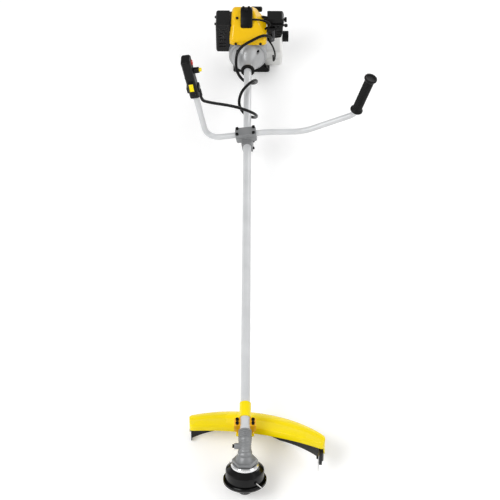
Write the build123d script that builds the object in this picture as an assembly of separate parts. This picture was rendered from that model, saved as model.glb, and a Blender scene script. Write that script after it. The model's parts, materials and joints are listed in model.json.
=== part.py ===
from build123d import *
import math
import os

# String trimmer with a petrol engine and a bull-horn handlebar, in millimetres.
# It lies as it rests on a floor: +Z up, the shaft along +Y from the cutting head to the engine.
# The origin is the centre of the engine stand's flat base, on the floor.

# Driving sizes of the shaft
shaft_height = 134.0
corner_y = -1681.0
tube_outer_r = 13.0
tube_wall = 1.5
tube_seat = 29.0
tube_rear_y = -177.0
sleeve_wall = 2.5
sleeve_front_gap = 2.0
sleeve_length = 44.0
drive_shaft_r = 4.0
bush_length = 24.0
bush_count = 5

# Clearances
running = 0.05
seat_gap = 0.1
free_gap = 0.4

# Gearbox and cutting head, measured along the head axis below the corner of the two axes
head_tilt_deg = 60.0
neck_r = 19.0
neck_end = 45.0
case_r = 22.0
case_wall = 4.0
barrel_end = 47.0
case_foot_r = 35.0
case_foot = 7.0
neck_grooves = (22.0, 26.0)
output_r = 5.0
bearing_r = 13.0
bearing_width = 8.0
upper_bearing_at = 13.0
pinion_teeth = 13
driven_teeth = 16
pinion_pitch_r = 11.0
tooth_face = 0.3
plug_r = 5.0
flange_r = 37.5
flange_top = 49.5
flange_bottom = 58.0
head_r = 51.0
head_wall = 2.5
head_split = 99.0
head_bottom = 108.0
rim_r = 57.5
rim_height = 6.0
knob_r = 20.0
knob_bottom = 141.0
knob_travel = 6.0
spool_hub_r = 15.0
spool_flange_r = 44.0
spool_top = 77.0
spool_plate = 2.5
line_r = 1.2
line_free = 24.0
line_level = 86.0

# Guard, in the plane square to the head axis: outline points as (right, back)
guard_left = (-154.0, 154.0)
guard_middle = (30.0, 174.0)
guard_right = (214.0, 45.0)
lip_left = (-150.0, 104.0)
lip_middle = (20.0, 92.0)
lip_right = (205.0, 12.0)
guard_wall = 3.0
canopy_drop = 44.0
lip_drop = 14.0
canopy_round = 9.0
guard_corner = 14.0
skirt_wall = 3.0
skirt_top = 30.0
skirt_bottom = 71.0
skirt_return = 9.0
tongue_half = 24.0
tongue_front = 52.0
bracket_start = 58.0
bracket_length = 23.0
bracket_half = 29.0
bracket_rise = 5.0
bracket_bolt_x = 21.0
bracket_bolt_inset = 6.0
cutter_thick = 2.0

# Handlebar: centre line points as (right, above the shaft axis) in the plane of the bar
bar_y = -559.0
bar_r = 9.5
bar_wall = 1.5
bar_left_top = (-186.0, 334.0)
bar_left_corner = (-131.0, 7.0)
bar_mid_left = (62.0, 37.0)
bar_mid_right = (182.0, 40.0)
bar_right_corner = (343.0, 118.0)
bar_right_top = (381.0, 268.0)
bar_bends = [45.0, 160.0, 160.0, 36.0]
clamp_half = 34.0
clamp_depth = bar_r + 8.5
clamp_nose = 32.0
clamp_bolt_x = 27.0
clamp_bolt_y = bar_r + 3.7
clamp_gap = 1.0
grip_length = 142.0
grip_r = 14.5
grip_flange_r = 20.5
grip_flange = 7.0

# Throttle handle, measured along the left upright of the bar
handle_start = 202.0
handle_length = 145.0
handle_half_width = bar_r + 5.5
handle_front = 21.0
handle_back = 20.0
handle_round = 8.0
collar_reach = 5.5
collar_low = 16.0
collar_high = 36.0
trigger_width = 16.0
lock_r = 6.0
lock_barrel_r = 9.5
lock_at = 95.0
lock_travel = 4.0
switch_at = 124.0
switch_slot = 22.0
switch_travel = 7.0

# Engine: stations along Y, radii about the shaft axis, heights as lifts above the shaft axis
nose_y = -214.0
clutch_rear_y = -140.0
nose_r = 22.0
clutch_flange_r = 58.0
clutch_screw_ring = 50.0
clutch_screw_seat = 12.0
housing_wall = 3.0
drum_r = 36.0
fan_rear_y = -100.0
fan_housing_r = 67.0
flywheel_r = 57.0
fan_blades = 14
crankcase_r = 42.0
crankcase_rear_y = -27.0
crank_throw = 16.0
journal_r = 8.0
web_r = 30.0
bore_r = 22.0
cylinder_y = -63.0
cylinder_lift = 39.0
cylinder_height = 73.0
fin_half = 33.0
fin_depth = 31.0
fin_thick = 2.0
fin_pitch = 7.5
piston_height = 26.0
shroud_left = -64.0
shroud_right = 66.0
shroud_front_y = -150.0
shroud_rear_y = -26.0
shroud_lift = 58.0
shroud_top_lift = 143.0
shroud_wall = 2.5
shroud_round = 14.0
muffler_gap = 4.0
muffler_left = -113.0
muffler_front_y = -110.0
muffler_rear_y = -28.0
muffler_low_lift = -5.0
muffler_high_lift = 112.0
guard_sheet = 1.5
guard_round = 8.0
filter_left = 68.0
filter_split = 98.0
filter_right = 126.0
filter_front_y = -68.0
filter_rear_y = -22.0
filter_low_lift = 66.0
filter_high_lift = 106.0
tank_left = -64.0
tank_right = 126.0
tank_front_y = -50.0
tank_rear_y = 82.0
tank_top = 80.0
tank_wall = 2.5
cap_r = 20.0
cap_length = 22.0
stand_left = -54.0
stand_right = 80.0
stand_front_y = -72.0
stand_rear_y = 72.0
stand_plate = 8.0
starter_r = 50.0
starter_rear_y = 40.0
starter_post_r = 6.0
pulley_r = 36.0
rope_r = 2.0
rope_x = 30.0
rope_y = 4.0
guide_lift = 66.0
screw_r = 2.5
screw_head_r = 4.5
screw_head = 4.5


# Helpers


def box(x0, x1, y0, y1, z0, z1):
    """A box between two corners."""
    return Pos((x0 + x1) / 2, (y0 + y1) / 2, (z0 + z1) / 2) * Box(x1 - x0, y1 - y0, z1 - z0)


def soft_box(x0, x1, y0, y1, z0, z1, radius):
    """A box with every edge rounded."""
    solid = box(x0, x1, y0, y1, z0, z1)
    return fillet(solid.edges(), radius)


def rod(start, end, radius):
    """A round bar between two points."""
    start = Vector(*start)
    along = Vector(*end) - start
    middle = start + along * 0.5
    return Plane(origin=middle, z_dir=along) * Cylinder(radius, along.length)


def turned(points):
    """A solid turned about Z from (radius, height) points."""
    face = make_face(Plane.XZ * Polyline(*points, close=True))
    return revolve(face, Axis.Z)


def on_shaft(points):
    """A solid turned about the shaft axis from (radius, y) points."""
    return Pos(0, 0, shaft_height) * Rot(-90, 0, 0) * turned(points)


def ring(inner, outer, low, high):
    """Outline of a plain ring for turning."""
    return [(inner, low), (outer, low), (outer, high), (inner, high)]


def screw_body(start, way, length, radius=screw_r, head_r=screw_head_r, head=screw_head):
    """Head and shank of a screw: the head stands on the start point, the shank goes along the way."""
    way = Vector(*way).normalized()
    seat = Vector(*start)
    return rod(seat - way * head, seat, head_r) + rod(seat, seat + way * length, radius)


def screw(start, way, length, radius=screw_r, head_r=screw_head_r, head=screw_head):
    """A screw with a hexagon socket in its head."""
    way = Vector(*way).normalized()
    face = Plane(origin=Vector(*start) - way * head, z_dir=way)
    socket = face * extrude(RegularPolygon(head_r * 0.5, 6), head * 0.6)
    return screw_body(start, way, length, radius, head_r, head) - socket


parts = {}
cylinder_base = shaft_height + cylinder_lift
cylinder_top = cylinder_base + cylinder_height
shroud_bottom = shaft_height + shroud_lift
shroud_top = shaft_height + shroud_top_lift
muffler_bottom = shaft_height + muffler_low_lift
muffler_top = shaft_height + muffler_high_lift
filter_bottom = shaft_height + filter_low_lift
filter_top = shaft_height + filter_high_lift
guide_top = shaft_height + guide_lift
corner = Vector(0, corner_y, shaft_height)
tilt = math.radians(head_tilt_deg)
head_axis = Vector(0, math.cos(tilt), math.sin(tilt))
head_plane = Plane(origin=corner, x_dir=(1, 0, 0), z_dir=head_axis)


def on_head(points):
    """A solid turned about the head axis from (radius, depth below the corner) points."""
    return head_plane * turned([(radius, -depth) for radius, depth in points])


# Shaft tube, its sleeve, the drive shaft and the bushes that carry it

tube_inner_r = tube_outer_r - tube_wall
tube_front_y = corner_y + tube_seat
parts["shaft_tube"] = on_shaft(ring(tube_inner_r, tube_outer_r, tube_front_y, tube_rear_y))

sleeve_y = corner_y + bracket_start + bracket_length + sleeve_front_gap
sleeve_ring = ring(tube_outer_r + seat_gap, tube_outer_r + sleeve_wall, sleeve_y, sleeve_y + sleeve_length)
parts["tube_sleeve"] = on_shaft(sleeve_ring)

drum_hub_y = tube_rear_y + 4.0
pinion_angle = math.atan2(
    math.sin(math.pi - tilt), driven_teeth / pinion_teeth + math.cos(math.pi - tilt)
)
driven_angle = math.pi - tilt - pinion_angle
driven_pitch_r = pinion_pitch_r * driven_teeth / pinion_teeth
pinion_reach = pinion_pitch_r / math.tan(pinion_angle)
driven_reach = driven_pitch_r / math.tan(driven_angle)
pinion_hub_end = pinion_reach + 7.0

shaft_front_y = corner_y + pinion_hub_end
parts["drive_shaft"] = on_shaft([(0, shaft_front_y), (drive_shaft_r, shaft_front_y),
                                 (drive_shaft_r, drum_hub_y), (0, drum_hub_y)])

bush_step = (tube_rear_y - tube_front_y - bush_length) / (bush_count - 1)
bushes = []
for index in range(bush_count):
    bush_y = tube_front_y + bush_step * index
    bushes.append(on_shaft(ring(drive_shaft_r + running, tube_inner_r, bush_y, bush_y + bush_length)))
parts["shaft_bushes"] = Compound(children=bushes)


# Bevel gears: cones that roll on each other with their tips at the corner


def bevel(teeth, pitch_r, reach, cone, bore, back, phase):
    """A bevel gear about +Z with the tip of its pitch cone at the origin."""
    module = 2 * pitch_r / teeth
    addendum = 0.7 * module
    dedendum = 1.0 * module
    rooted = dedendum + 0.4
    near = 1 - tooth_face
    out_x, out_z = math.cos(cone), -math.sin(cone)
    root_r = pitch_r - out_x * dedendum
    root_z = reach - out_z * dedendum
    body = turned([(bore, root_z * near), (root_r * near, root_z * near), (root_r, root_z),
                   (root_r, root_z + 1.0), (root_r * 0.7, back), (bore, back)])
    tooth = None
    for shrink in (1.0, near):
        corners = []
        for lift, half in ((addendum, 0.17), (-rooted, 0.52)):
            for side in (-1, 1):
                place = Vector(pitch_r + out_x * lift, side * half * module, reach + out_z * lift)
                corners.append(place * shrink)
        loop = Face(Wire.make_polygon([corners[0], corners[1], corners[3], corners[2]]))
        tooth = loop if tooth is None else loft([tooth, loop], ruled=True)
    return body + [Rot(0, 0, phase + index * 360 / teeth) * tooth for index in range(teeth)]


across = Vector(0, math.sin(tilt), -math.cos(tilt))
pinion_plane = Plane(origin=corner, x_dir=(0, 0, -1), z_dir=(0, 1, 0))
driven_plane = Plane(origin=corner, x_dir=across, z_dir=head_axis * -1)
parts["pinion_gear"] = pinion_plane * bevel(
    pinion_teeth, pinion_pitch_r, pinion_reach, pinion_angle, 0, pinion_hub_end, 0
)
driven_back = upper_bearing_at - 1.0
parts["driven_gear"] = driven_plane * bevel(
    driven_teeth, driven_pitch_r, driven_reach, driven_angle, output_r, driven_back, 180 / driven_teeth
)

# Gearbox case with seats for the bearings and the tube

chamber_r = case_r - case_wall
sphere_r = case_r + 3.0
pinion_bearing_at = pinion_hub_end + 2.0
lower_bearing_at = barrel_end - 3.0 - bearing_width
case = Pos(*corner) * Sphere(sphere_r)
case += rod(corner, corner + Vector(0, neck_end, 0), neck_r)
case += on_head(ring(0, case_r, 0, barrel_end))
case += rod(corner + Vector(-sphere_r - 3, 0, 0), corner, plug_r + 3.5)
lug_y = corner_y + neck_end - 9.0
case += box(-9, 9, lug_y - 8, lug_y + 8, shaft_height - neck_r - 6, shaft_height)
foot_plan = fillet(RegularPolygon(case_foot_r, 6).vertices(), 5)
case += head_plane * (Pos(0, 0, -barrel_end) * extrude(foot_plan, case_foot))
for groove_at in neck_grooves:
    case -= on_shaft(ring(neck_r - 1.2, neck_r + 1, corner_y + groove_at, corner_y + groove_at + 2))
case -= Pos(*corner) * Sphere(chamber_r)
case -= rod(corner, corner + Vector(0, tube_seat, 0), tube_inner_r + seat_gap)
case -= rod(corner + Vector(0, tube_seat, 0), corner + Vector(0, neck_end + 1, 0), tube_outer_r)
case -= on_head(ring(0, bearing_r + seat_gap, 0, barrel_end - 3.0))
case -= on_head(ring(0, output_r + 3.0, 0, barrel_end + 1))
case -= box(-1, 1, lug_y - 12, lug_y + 12, shaft_height - neck_r - 12, shaft_height)
parts["gearbox_case"] = case

bearings = [on_head(ring(output_r + running, bearing_r, start, start + bearing_width))
            for start in (upper_bearing_at, lower_bearing_at)]
pinion_bearing_y = corner_y + pinion_bearing_at
bearings.append(on_shaft(ring(drive_shaft_r + running, tube_inner_r,
                              pinion_bearing_y, pinion_bearing_y + bearing_width)))

# Output shaft, head flange, head body, cover, spool with its bump knob, and the line

shaft_end = head_bottom - 8.0
parts["output_shaft"] = on_head([(0, driven_reach), (output_r, driven_reach),
                                 (output_r, shaft_end), (0, shaft_end)])
hub_top = barrel_end + 0.6
parts["head_flange"] = on_head([
    (output_r, hub_top), (output_r + 5, hub_top), (output_r + 5, flange_top), (flange_r - 3, flange_top),
    (flange_r, flange_top + 3), (flange_r, flange_bottom), (output_r, flange_bottom)])

shoulder = flange_bottom + 10.0
shell_r = head_r - head_wall
roof = flange_bottom + head_wall + 0.5
body = on_head([
    (output_r, flange_bottom), (flange_r - 1.5, flange_bottom), (flange_r + 3, flange_bottom + 2),
    (head_r - 1, shoulder), (head_r, shoulder + 4), (head_r, head_split), (shell_r, head_split),
    (shell_r, shoulder + 4.5), (flange_r, roof + 1.5), (flange_r - 2, roof), (output_r, roof)])
line_turn = math.radians(-55.0)
lines = []
for half_turn in (0, math.pi):
    way = Vector(math.cos(line_turn + half_turn), math.sin(line_turn + half_turn), 0)
    lines.append(head_plane * rod(way * (shell_r - 3.5) - Vector(0, 0, line_level),
                                  way * (head_r + line_free) - Vector(0, 0, line_level), line_r))
    body += head_plane * rod(way * (shell_r + 0.6) - Vector(0, 0, line_level),
                             way * (head_r + 2.5) - Vector(0, 0, line_level), 5.0)
for line in lines:
    body -= line
parts["head_body"] = body
parts["trimmer_line"] = Compound(children=lines)

knob_hole_r = knob_r + free_gap
floor_top = head_bottom - head_wall
parts["head_cover"] = on_head([
    (knob_hole_r, floor_top), (shell_r - 1.5, floor_top), (shell_r, floor_top - 1.5), (shell_r, head_split),
    (head_r, head_split), (head_r + 2.5, head_split + 3.5), (rim_r - 2, head_split + 3.0),
    (rim_r - 2, head_split - 1.0), (rim_r, head_split - 1.0), (rim_r, head_split + rim_height - 1),
    (rim_r - 3.5, head_bottom), (knob_hole_r, head_bottom)])

spool_low = floor_top - 2.0
knob_floor = shaft_end + knob_travel + 3.0
parts["bump_knob"] = on_head([
    (output_r + running, spool_top), (spool_flange_r, spool_top), (spool_flange_r, spool_top + spool_plate),
    (spool_hub_r, spool_top + spool_plate), (spool_hub_r, spool_low - spool_plate),
    (spool_flange_r, spool_low - spool_plate), (spool_flange_r, spool_low), (knob_r, spool_low),
    (knob_r, knob_bottom - 8), (knob_r - 2.5, knob_bottom - 3), (knob_r - 8, knob_bottom), (0, knob_bottom),
    (0, knob_floor), (output_r + running, knob_floor)])

# Guard: a yellow canopy with a mounting tongue, a black skirt and a bracket on the tube


def guard_face(inset):
    """Plan of the guard, drawn in by an inset."""
    outline = [ThreePointArc(guard_left, guard_middle, guard_right), Line(guard_right, lip_right),
               ThreePointArc(lip_right, lip_middle, lip_left), Line(lip_left, guard_left)]
    face = make_face(outline)
    face = fillet(face.vertices(), guard_corner)
    return offset(face, -inset) if inset else face


def hang(face, high, low):
    """Extrudes a plan along the head axis between two depths."""
    return head_plane * (Pos(0, 0, -low) * extrude(face, low - high))


floor_cut = box(-400, 400, corner_y - 100, corner_y + 500, -200, 0)
canopy = hang(guard_face(0), 0, canopy_drop)
canopy = fillet(canopy.faces().sort_by(Axis(corner, head_axis))[-1].edges(), canopy_round)
front_band = guard_face(0) - Pos(0, 20) * guard_face(0)
canopy -= hang(front_band, lip_drop, canopy_drop + 1)
canopy -= hang(guard_face(guard_wall), guard_wall, canopy_drop + 1)
tongue_back = lip_middle[1] + 12.0
tongue_length = tongue_back - tongue_front
tongue = Pos(0, tongue_front + tongue_length / 2) * Rectangle(2 * tongue_half, tongue_length)
canopy += hang(tongue, 0, guard_wall)
canopy -= floor_cut
parts["guard_canopy"] = canopy

skirt_inset = guard_wall + seat_gap
skirt_face = guard_face(skirt_inset) - guard_face(skirt_inset + skirt_wall)
skirt_face -= Pos(0, -skirt_return) * guard_face(skirt_inset)
skirt = hang(skirt_face, skirt_top, skirt_bottom)
seat_x = lip_right[0] - 9.0
seat_face = Pos(seat_x + 4, guard_right[1] - 6) * Rectangle(8, 34)
skirt += hang(seat_face & guard_face(skirt_inset), skirt_top + 6, skirt_bottom)
skirt -= floor_cut
parts["guard_skirt"] = skirt

blade_points = [(guard_right[1] - 20, -skirt_bottom + 26), (guard_right[1] - 4, -skirt_bottom + 26),
                (guard_right[1] - 2, -skirt_bottom + 4), (guard_right[1] - 12, -skirt_bottom - 26)]
blade_plane = Plane(origin=(seat_x, 0, 0), x_dir=(0, 1, 0), z_dir=(1, 0, 0))
blade = extrude(blade_plane * make_face(Polyline(*blade_points, close=True)), -cutter_thick)
parts["line_cutter"] = head_plane * blade
blade_screw = ((seat_x - cutter_thick, guard_right[1] - 12, -skirt_bottom + 17), (1, 0, 0), 7)
parts["line_cutter"] -= head_plane * screw_body(*blade_screw)
parts["guard_skirt"] -= head_plane * screw_body(*blade_screw)
tube_bolts = [head_plane * screw(*blade_screw)]

bracket_y = corner_y + bracket_start
bracket = box(-bracket_half, bracket_half, bracket_y, bracket_y + bracket_length,
              shaft_height - bracket_half, shaft_height + bracket_rise)
bracket = fillet(bracket.edges().filter_by(Axis.Y), 7)
foot = Pos(0, tongue_front + 18) * Rectangle(2 * tongue_half - 4, 36)
bracket += head_plane * extrude(foot, 34)
bracket -= box(-90, 90, bracket_y - 90, bracket_y, shaft_height - 400, shaft_height + 400)
bracket -= rod((0, bracket_y - 1, shaft_height), (0, bracket_y + 90, shaft_height), tube_outer_r)
sleeve_room = tube_outer_r + sleeve_wall + 1
bracket -= rod((0, sleeve_y - 1, shaft_height), (0, bracket_y + 90, shaft_height), sleeve_room)
bracket -= rod((0, bracket_y - 90, shaft_height), (0, bracket_y, shaft_height), neck_r + 0.5)
parts["guard_bracket"] = bracket

tongue_bolts = [((x, y, -guard_wall), (0, 0, 1), 14)
                for x in (-15, 15) for y in (tongue_front + 8, tongue_front + 24)]
for bolt in tongue_bolts:
    parts["guard_canopy"] -= head_plane * screw_body(*bolt)
    parts["guard_bracket"] -= head_plane * screw_body(*bolt)
strap_level = shaft_height + bracket_rise
strap_bolts = [((x, y, strap_level), (0, 0, -1), 22)
               for x in (-bracket_bolt_x, bracket_bolt_x)
               for y in (bracket_y + bracket_bolt_inset, bracket_y + bracket_length - bracket_bolt_inset)]
for bolt in strap_bolts:
    parts["guard_bracket"] -= screw_body(*bolt)
case_bolts = [((-9, lug_y, shaft_height - neck_r - 1.5), (1, 0, 0), 16, 1.8, 3.5, 3.5),
              ((-sphere_r - 3, corner_y, shaft_height), (1, 0, 0), 8, screw_r, plug_r, 5.0)]
for bolt in case_bolts:
    parts["gearbox_case"] -= screw_body(*bolt)
tube_bolts += [head_plane * screw(*bolt) for bolt in tongue_bolts]
tube_bolts += [screw(*bolt) for bolt in strap_bolts + case_bolts]

# Handlebar: one bent tube


def bar_point(place):
    """A point of the bar's centre line from (right, above the shaft axis)."""
    return Vector(place[0], bar_y, shaft_height + place[1])


bar_route = [bar_point(place) for place in (bar_left_top, bar_left_corner, bar_mid_left, bar_mid_right,
                                            bar_right_corner, bar_right_top)]
bar_path = FilletPolyline(*bar_route, radius=bar_bends)
bar_start = Plane(origin=bar_path @ 0, z_dir=bar_path % 0)
bar_full = sweep(bar_start * Circle(bar_r), path=bar_path)
bar_hollow = sweep(bar_start * Circle(bar_r - bar_wall), path=bar_path)
parts["handlebar"] = bar_full - bar_hollow

# Handle clamp: a cast base on the shaft tube and a cap over the bar

bar_slope = math.atan2(bar_mid_left[1] - bar_left_corner[1], bar_mid_left[0] - bar_left_corner[0])
bar_over_shaft = bar_left_corner[1] - bar_left_corner[0] * math.tan(bar_slope)
bar_lift = bar_over_shaft * math.cos(bar_slope)
clamp_plane = Plane(origin=(0, bar_y, shaft_height), x_dir=(math.cos(bar_slope), 0, math.sin(bar_slope)),
                    z_dir=(-math.sin(bar_slope), 0, math.cos(bar_slope)))
bar_bore = rod((-clamp_half - 1, 0, bar_lift), (clamp_half + 1, 0, bar_lift), bar_r)
tube_bore = rod((0, -clamp_nose - 1, 0), (0, clamp_depth + 1, 0), tube_outer_r)
pinch_level = -tube_outer_r - 5.0
clamp_floor = pinch_level - 6.0
clamp_split = clamp_gap / 2
saddle_half = tube_outer_r + 4.0
saddle = box(-saddle_half, saddle_half, -clamp_depth, clamp_depth, clamp_floor, bar_lift - clamp_split)
nose = box(-saddle_half, saddle_half, -clamp_nose, -clamp_depth + 1, clamp_floor, saddle_half)
saddle += fillet(nose.edges().filter_by(Axis.Y), 3)
yoke = box(-clamp_half, clamp_half, -clamp_depth, clamp_depth, 8, bar_lift - clamp_split)
yoke = fillet(yoke.edges().filter_by(Axis.Z), 8)
pinch = box(-1.5, 1.5, -clamp_nose - 1, clamp_depth + 1, clamp_floor - 1, 0)
clamp_base = saddle + yoke - bar_bore - tube_bore - pinch
cap_top = bar_lift + bar_r + 5.0
clamp_cap = box(-clamp_half, clamp_half, -clamp_depth, clamp_depth, bar_lift + clamp_split, cap_top)
clamp_cap = fillet(clamp_cap.edges().filter_by(Axis.Z), 8)
clamp_cap = clamp_cap - bar_bore
clamp_screws = [((x, y, cap_top), (0, 0, -1), cap_top - 10, screw_r, 5.0, 5.0)
                for x in (-clamp_bolt_x, clamp_bolt_x) for y in (-clamp_bolt_y, clamp_bolt_y)]
clamp_screws += [((tube_outer_r + 4, y, pinch_level), (-1, 0, 0), 2 * tube_outer_r)
                 for y in (-clamp_nose + 10, clamp_depth - 8)]
for bolt in clamp_screws:
    clamp_base -= screw_body(*bolt)
    clamp_cap -= screw_body(*bolt)
parts["handle_clamp_base"] = clamp_plane * clamp_base
parts["handle_clamp_cap"] = clamp_plane * clamp_cap
tube_bolts += [clamp_plane * screw(*bolt) for bolt in clamp_screws]

# Rubber hand grip on the right end of the bar

grip_way = (bar_point(bar_right_top) - bar_point(bar_right_corner)).normalized()
grip_end_wall = 4.0
grip_base = bar_point(bar_right_top) - grip_way * (grip_length - grip_end_wall)
grip_neck = grip_flange + 4.0
grip_profile = [
    (bar_r, 0), (grip_flange_r, 0), (grip_flange_r, grip_flange), (grip_r, grip_neck),
    (grip_r + 1, grip_length / 2), (grip_r, grip_length - grip_neck),
    (grip_flange_r, grip_length - grip_flange), (grip_flange_r, grip_length), (0, grip_length),
    (0, grip_length - grip_end_wall), (bar_r, grip_length - grip_end_wall)]
parts["hand_grip"] = Plane(origin=grip_base, z_dir=grip_way) * turned(grip_profile)

# Throttle handle on the left end of the bar: two halves with trigger, lock-out, lock button and switch

upright = (bar_point(bar_left_top) - bar_point(bar_left_corner)).normalized()
handle_foot = bar_point(bar_left_corner) + upright * ((handle_start - bar_left_corner[1]) / upright.Z)
handle_plane = Plane(origin=handle_foot, x_dir=(upright.Z, 0, -upright.X), z_dir=upright)
bar_in_handle = (bar_point(bar_left_top) - handle_foot).length

casing = box(-handle_half_width, handle_half_width, -handle_front, handle_back, 0, handle_length)
casing = fillet(casing.edges().filter_by(Axis.Z), handle_round)
casing = fillet(casing.edges().group_by(Axis.Z)[-1], 5)
gland_x = bar_r + 5.0
gland_y = 9.0
gland_drop = 16.0
gland = rod((gland_x, gland_y, 8), (gland_x, gland_y, -gland_drop), 6.0)
barrel_end_x = handle_half_width + 17.0
barrel = rod((handle_half_width - 4, 0, lock_at), (barrel_end_x, 0, lock_at), lock_barrel_r)
lock_floor_x = bar_r + 4.0
collar_half = handle_half_width + collar_reach
collar = box(-collar_half, collar_half, -12, 12, collar_low, collar_high)
casing += fillet(collar.edges().filter_by(Axis.X, reverse=True), 2.5)
casing += barrel
casing += gland
handle_cuts = [rod((0, 0, -1), (0, 0, bar_in_handle), bar_r),
               rod((lock_floor_x, 0, lock_at), (barrel_end_x + 1, 0, lock_at), lock_r + running)]
trigger_half = trigger_width / 2
slot_half = trigger_half + 0.5
trigger_pin = (-15.5, 62.0)
lockout_pin = (15.0, 92.0)
pin_r = 2.5
pin_reach = 12.0
handle_cuts.append(box(-slot_half, slot_half, -handle_front - 1, -bar_r + 1, 12, trigger_pin[1] + 9))
handle_cuts.append(box(-slot_half, slot_half, bar_r - 1, handle_back + 1, 40, lockout_pin[1] + 9))
for pin in (trigger_pin, lockout_pin):
    handle_cuts.append(rod((-pin_reach - 0.5, *pin), (pin_reach + 0.5, *pin), pin_r + running))
switch_depth = 5.0
switch_floor_x = handle_half_width - switch_depth
switch_half = 5.5
handle_cuts.append(box(switch_floor_x, handle_half_width + 1, -switch_half - free_gap, switch_half + free_gap,
                       switch_at - switch_slot / 2, switch_at + switch_slot / 2))
handle_screws = [((-handle_half_width + 3, y, z), (1, 0, 0), 2 * handle_half_width - 8, 2.0, 3.6, 3.0)
                 for y, z in ((-bar_r - 4, 80), (bar_r + 2.5, 26), (-bar_r - 4, 135))]
handle_cuts += [screw_body(*bolt) for bolt in handle_screws]
far = 400.0
halves = {"left": box(-far, 0, -far, far, -far, far), "right": box(0, far, -far, far, -far, far)}
for side, space in halves.items():
    half = casing & space
    for cut in handle_cuts:
        half -= cut
    parts[f"throttle_housing_{side}"] = handle_plane * half
parts["housing_screws"] = Compound(children=[handle_plane * screw(*bolt) for bolt in handle_screws])


def lever(outline, pin, half):
    """A moulded lever with stub pins: an outline of (y, z) points drawn out along X."""
    face = make_face(Plane.YZ * Polyline(*outline, close=True))
    return extrude(face, half, both=True) + rod((-pin_reach, *pin), (pin_reach, *pin), pin_r)


trigger_outline = [(-12.5, 66), (-19, 67), (-26, 56), (-31, 38), (-33, 20), (-27.5, 18), (-24, 30), (-20.5, 46),
                   (-12.5, 57)]
lockout_outline = [(12, 95), (18, 96), (24, 84), (26, 54), (23, 46), (19.5, 48), (18.5, 72), (12, 87)]
parts["throttle_trigger"] = handle_plane * lever(trigger_outline, trigger_pin, trigger_half)
parts["lockout_lever"] = handle_plane * lever(lockout_outline, lockout_pin, trigger_half)

button_in = lock_floor_x + lock_travel + 0.5
button = rod((button_in, 0, lock_at), (barrel_end_x + 8, 0, lock_at), lock_r)
parts["throttle_lock_button"] = handle_plane * chamfer(button.edges(), 1.0)

switch_top = switch_at + switch_slot / 2 - 1.0
switch = box(switch_floor_x + free_gap, handle_half_width + 4, -switch_half, switch_half,
             switch_top - (switch_slot - switch_travel - 2), switch_top)
parts["stop_switch"] = handle_plane * chamfer(switch.faces().sort_by(Axis.X)[-1].edges(), 1.5)

# Clutch: housing with its rubber ring, bearing and drum on the drive side, shoes on the engine side

bearing_front_y = tube_rear_y + 5.0
drum_seat_r = 14.0
cavity_y = bearing_front_y + bearing_width + 0.5
drum_room = drum_r + 2.5
damper_front_y = nose_y - 6.0
parts["damper_ring"] = on_shaft(ring(tube_outer_r + seat_gap, nose_r + 2, damper_front_y, nose_y))
bell_outer = [(nose_r, nose_y), (nose_r, nose_y + 8), (nose_r + 4, nose_y + 18), (nose_r + 12, nose_y + 31),
              (nose_r + 22, nose_y + 44), (clutch_flange_r - 6, clutch_rear_y - 19),
              (clutch_flange_r, clutch_rear_y - 7), (clutch_flange_r, clutch_rear_y)]
bell_inner = [(drum_room, clutch_rear_y), (drum_room, cavity_y), (drum_seat_r + seat_gap, cavity_y),
              (drum_seat_r + seat_gap, tube_rear_y), (tube_outer_r, tube_rear_y), (tube_outer_r, nose_y)]
bell_curve = Plane.XZ * Spline(*bell_outer[1:7])
bell_rest = Plane.XZ * Polyline(bell_outer[6], bell_outer[7], *bell_inner, *bell_outer[:2])
bell = revolve(make_face([bell_curve, bell_rest]), Axis.Z)
parts["clutch_housing"] = Pos(0, 0, shaft_height) * Rot(-90, 0, 0) * bell
drum_hub_r = 7.0
drum_bearing = ring(drum_hub_r + running, drum_seat_r, bearing_front_y, bearing_front_y + bearing_width)
bearings.append(on_shaft(drum_bearing))
drum_face_y = cavity_y + 1.5
drum_open_y = clutch_rear_y - 3.0
parts["clutch_drum"] = on_shaft([
    (0, drum_hub_y), (drum_hub_r, drum_hub_y), (drum_hub_r, drum_face_y), (drum_r, drum_face_y),
    (drum_r, drum_open_y), (drum_r - 2.5, drum_open_y), (drum_r - 2.5, drum_face_y + 3), (0, drum_face_y + 3)])

flywheel_front_y = clutch_rear_y + 8.0
flywheel_rear_y = fan_rear_y - 10.0
shoe_front_y = drum_face_y + 5.0
shoe_rear_y = drum_open_y - 2.0
shoes = on_shaft(ring(12, drum_r - 3.2, shoe_front_y, shoe_rear_y))
shoes -= box(-2, 2, nose_y, 0, 0, 2 * shaft_height)
for side in (-1, 1):
    pin_x = side * 22.0
    shoes += rod((pin_x, shoe_rear_y, shaft_height), (pin_x, flywheel_front_y, shaft_height), 5.0)
parts["clutch_shoes"] = shoes

# Flywheel with fan blades in its housing

wheel = on_shaft([
    (journal_r, flywheel_front_y), (28, flywheel_front_y), (28, flywheel_front_y + 8),
    (flywheel_r, flywheel_front_y + 10), (flywheel_r, flywheel_rear_y), (journal_r, flywheel_rear_y)])
blade_place = Pos(0, flywheel_front_y, shaft_height)
blades = [blade_place * Rot(0, index * 360 / fan_blades, 0) * box(30, flywheel_r - 1, 1.5, 11, -1.2, 1.2)
          for index in range(fan_blades)]
parts["flywheel"] = wheel + blades
fan_inner_r = fan_housing_r - housing_wall
parts["fan_housing"] = on_shaft([
    (drum_room, clutch_rear_y), (fan_housing_r, clutch_rear_y), (fan_housing_r, fan_rear_y),
    (fan_inner_r, fan_rear_y), (fan_inner_r, clutch_rear_y + housing_wall),
    (drum_room, clutch_rear_y + housing_wall)])

# Crankcase, crankshaft, cylinder and piston

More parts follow.
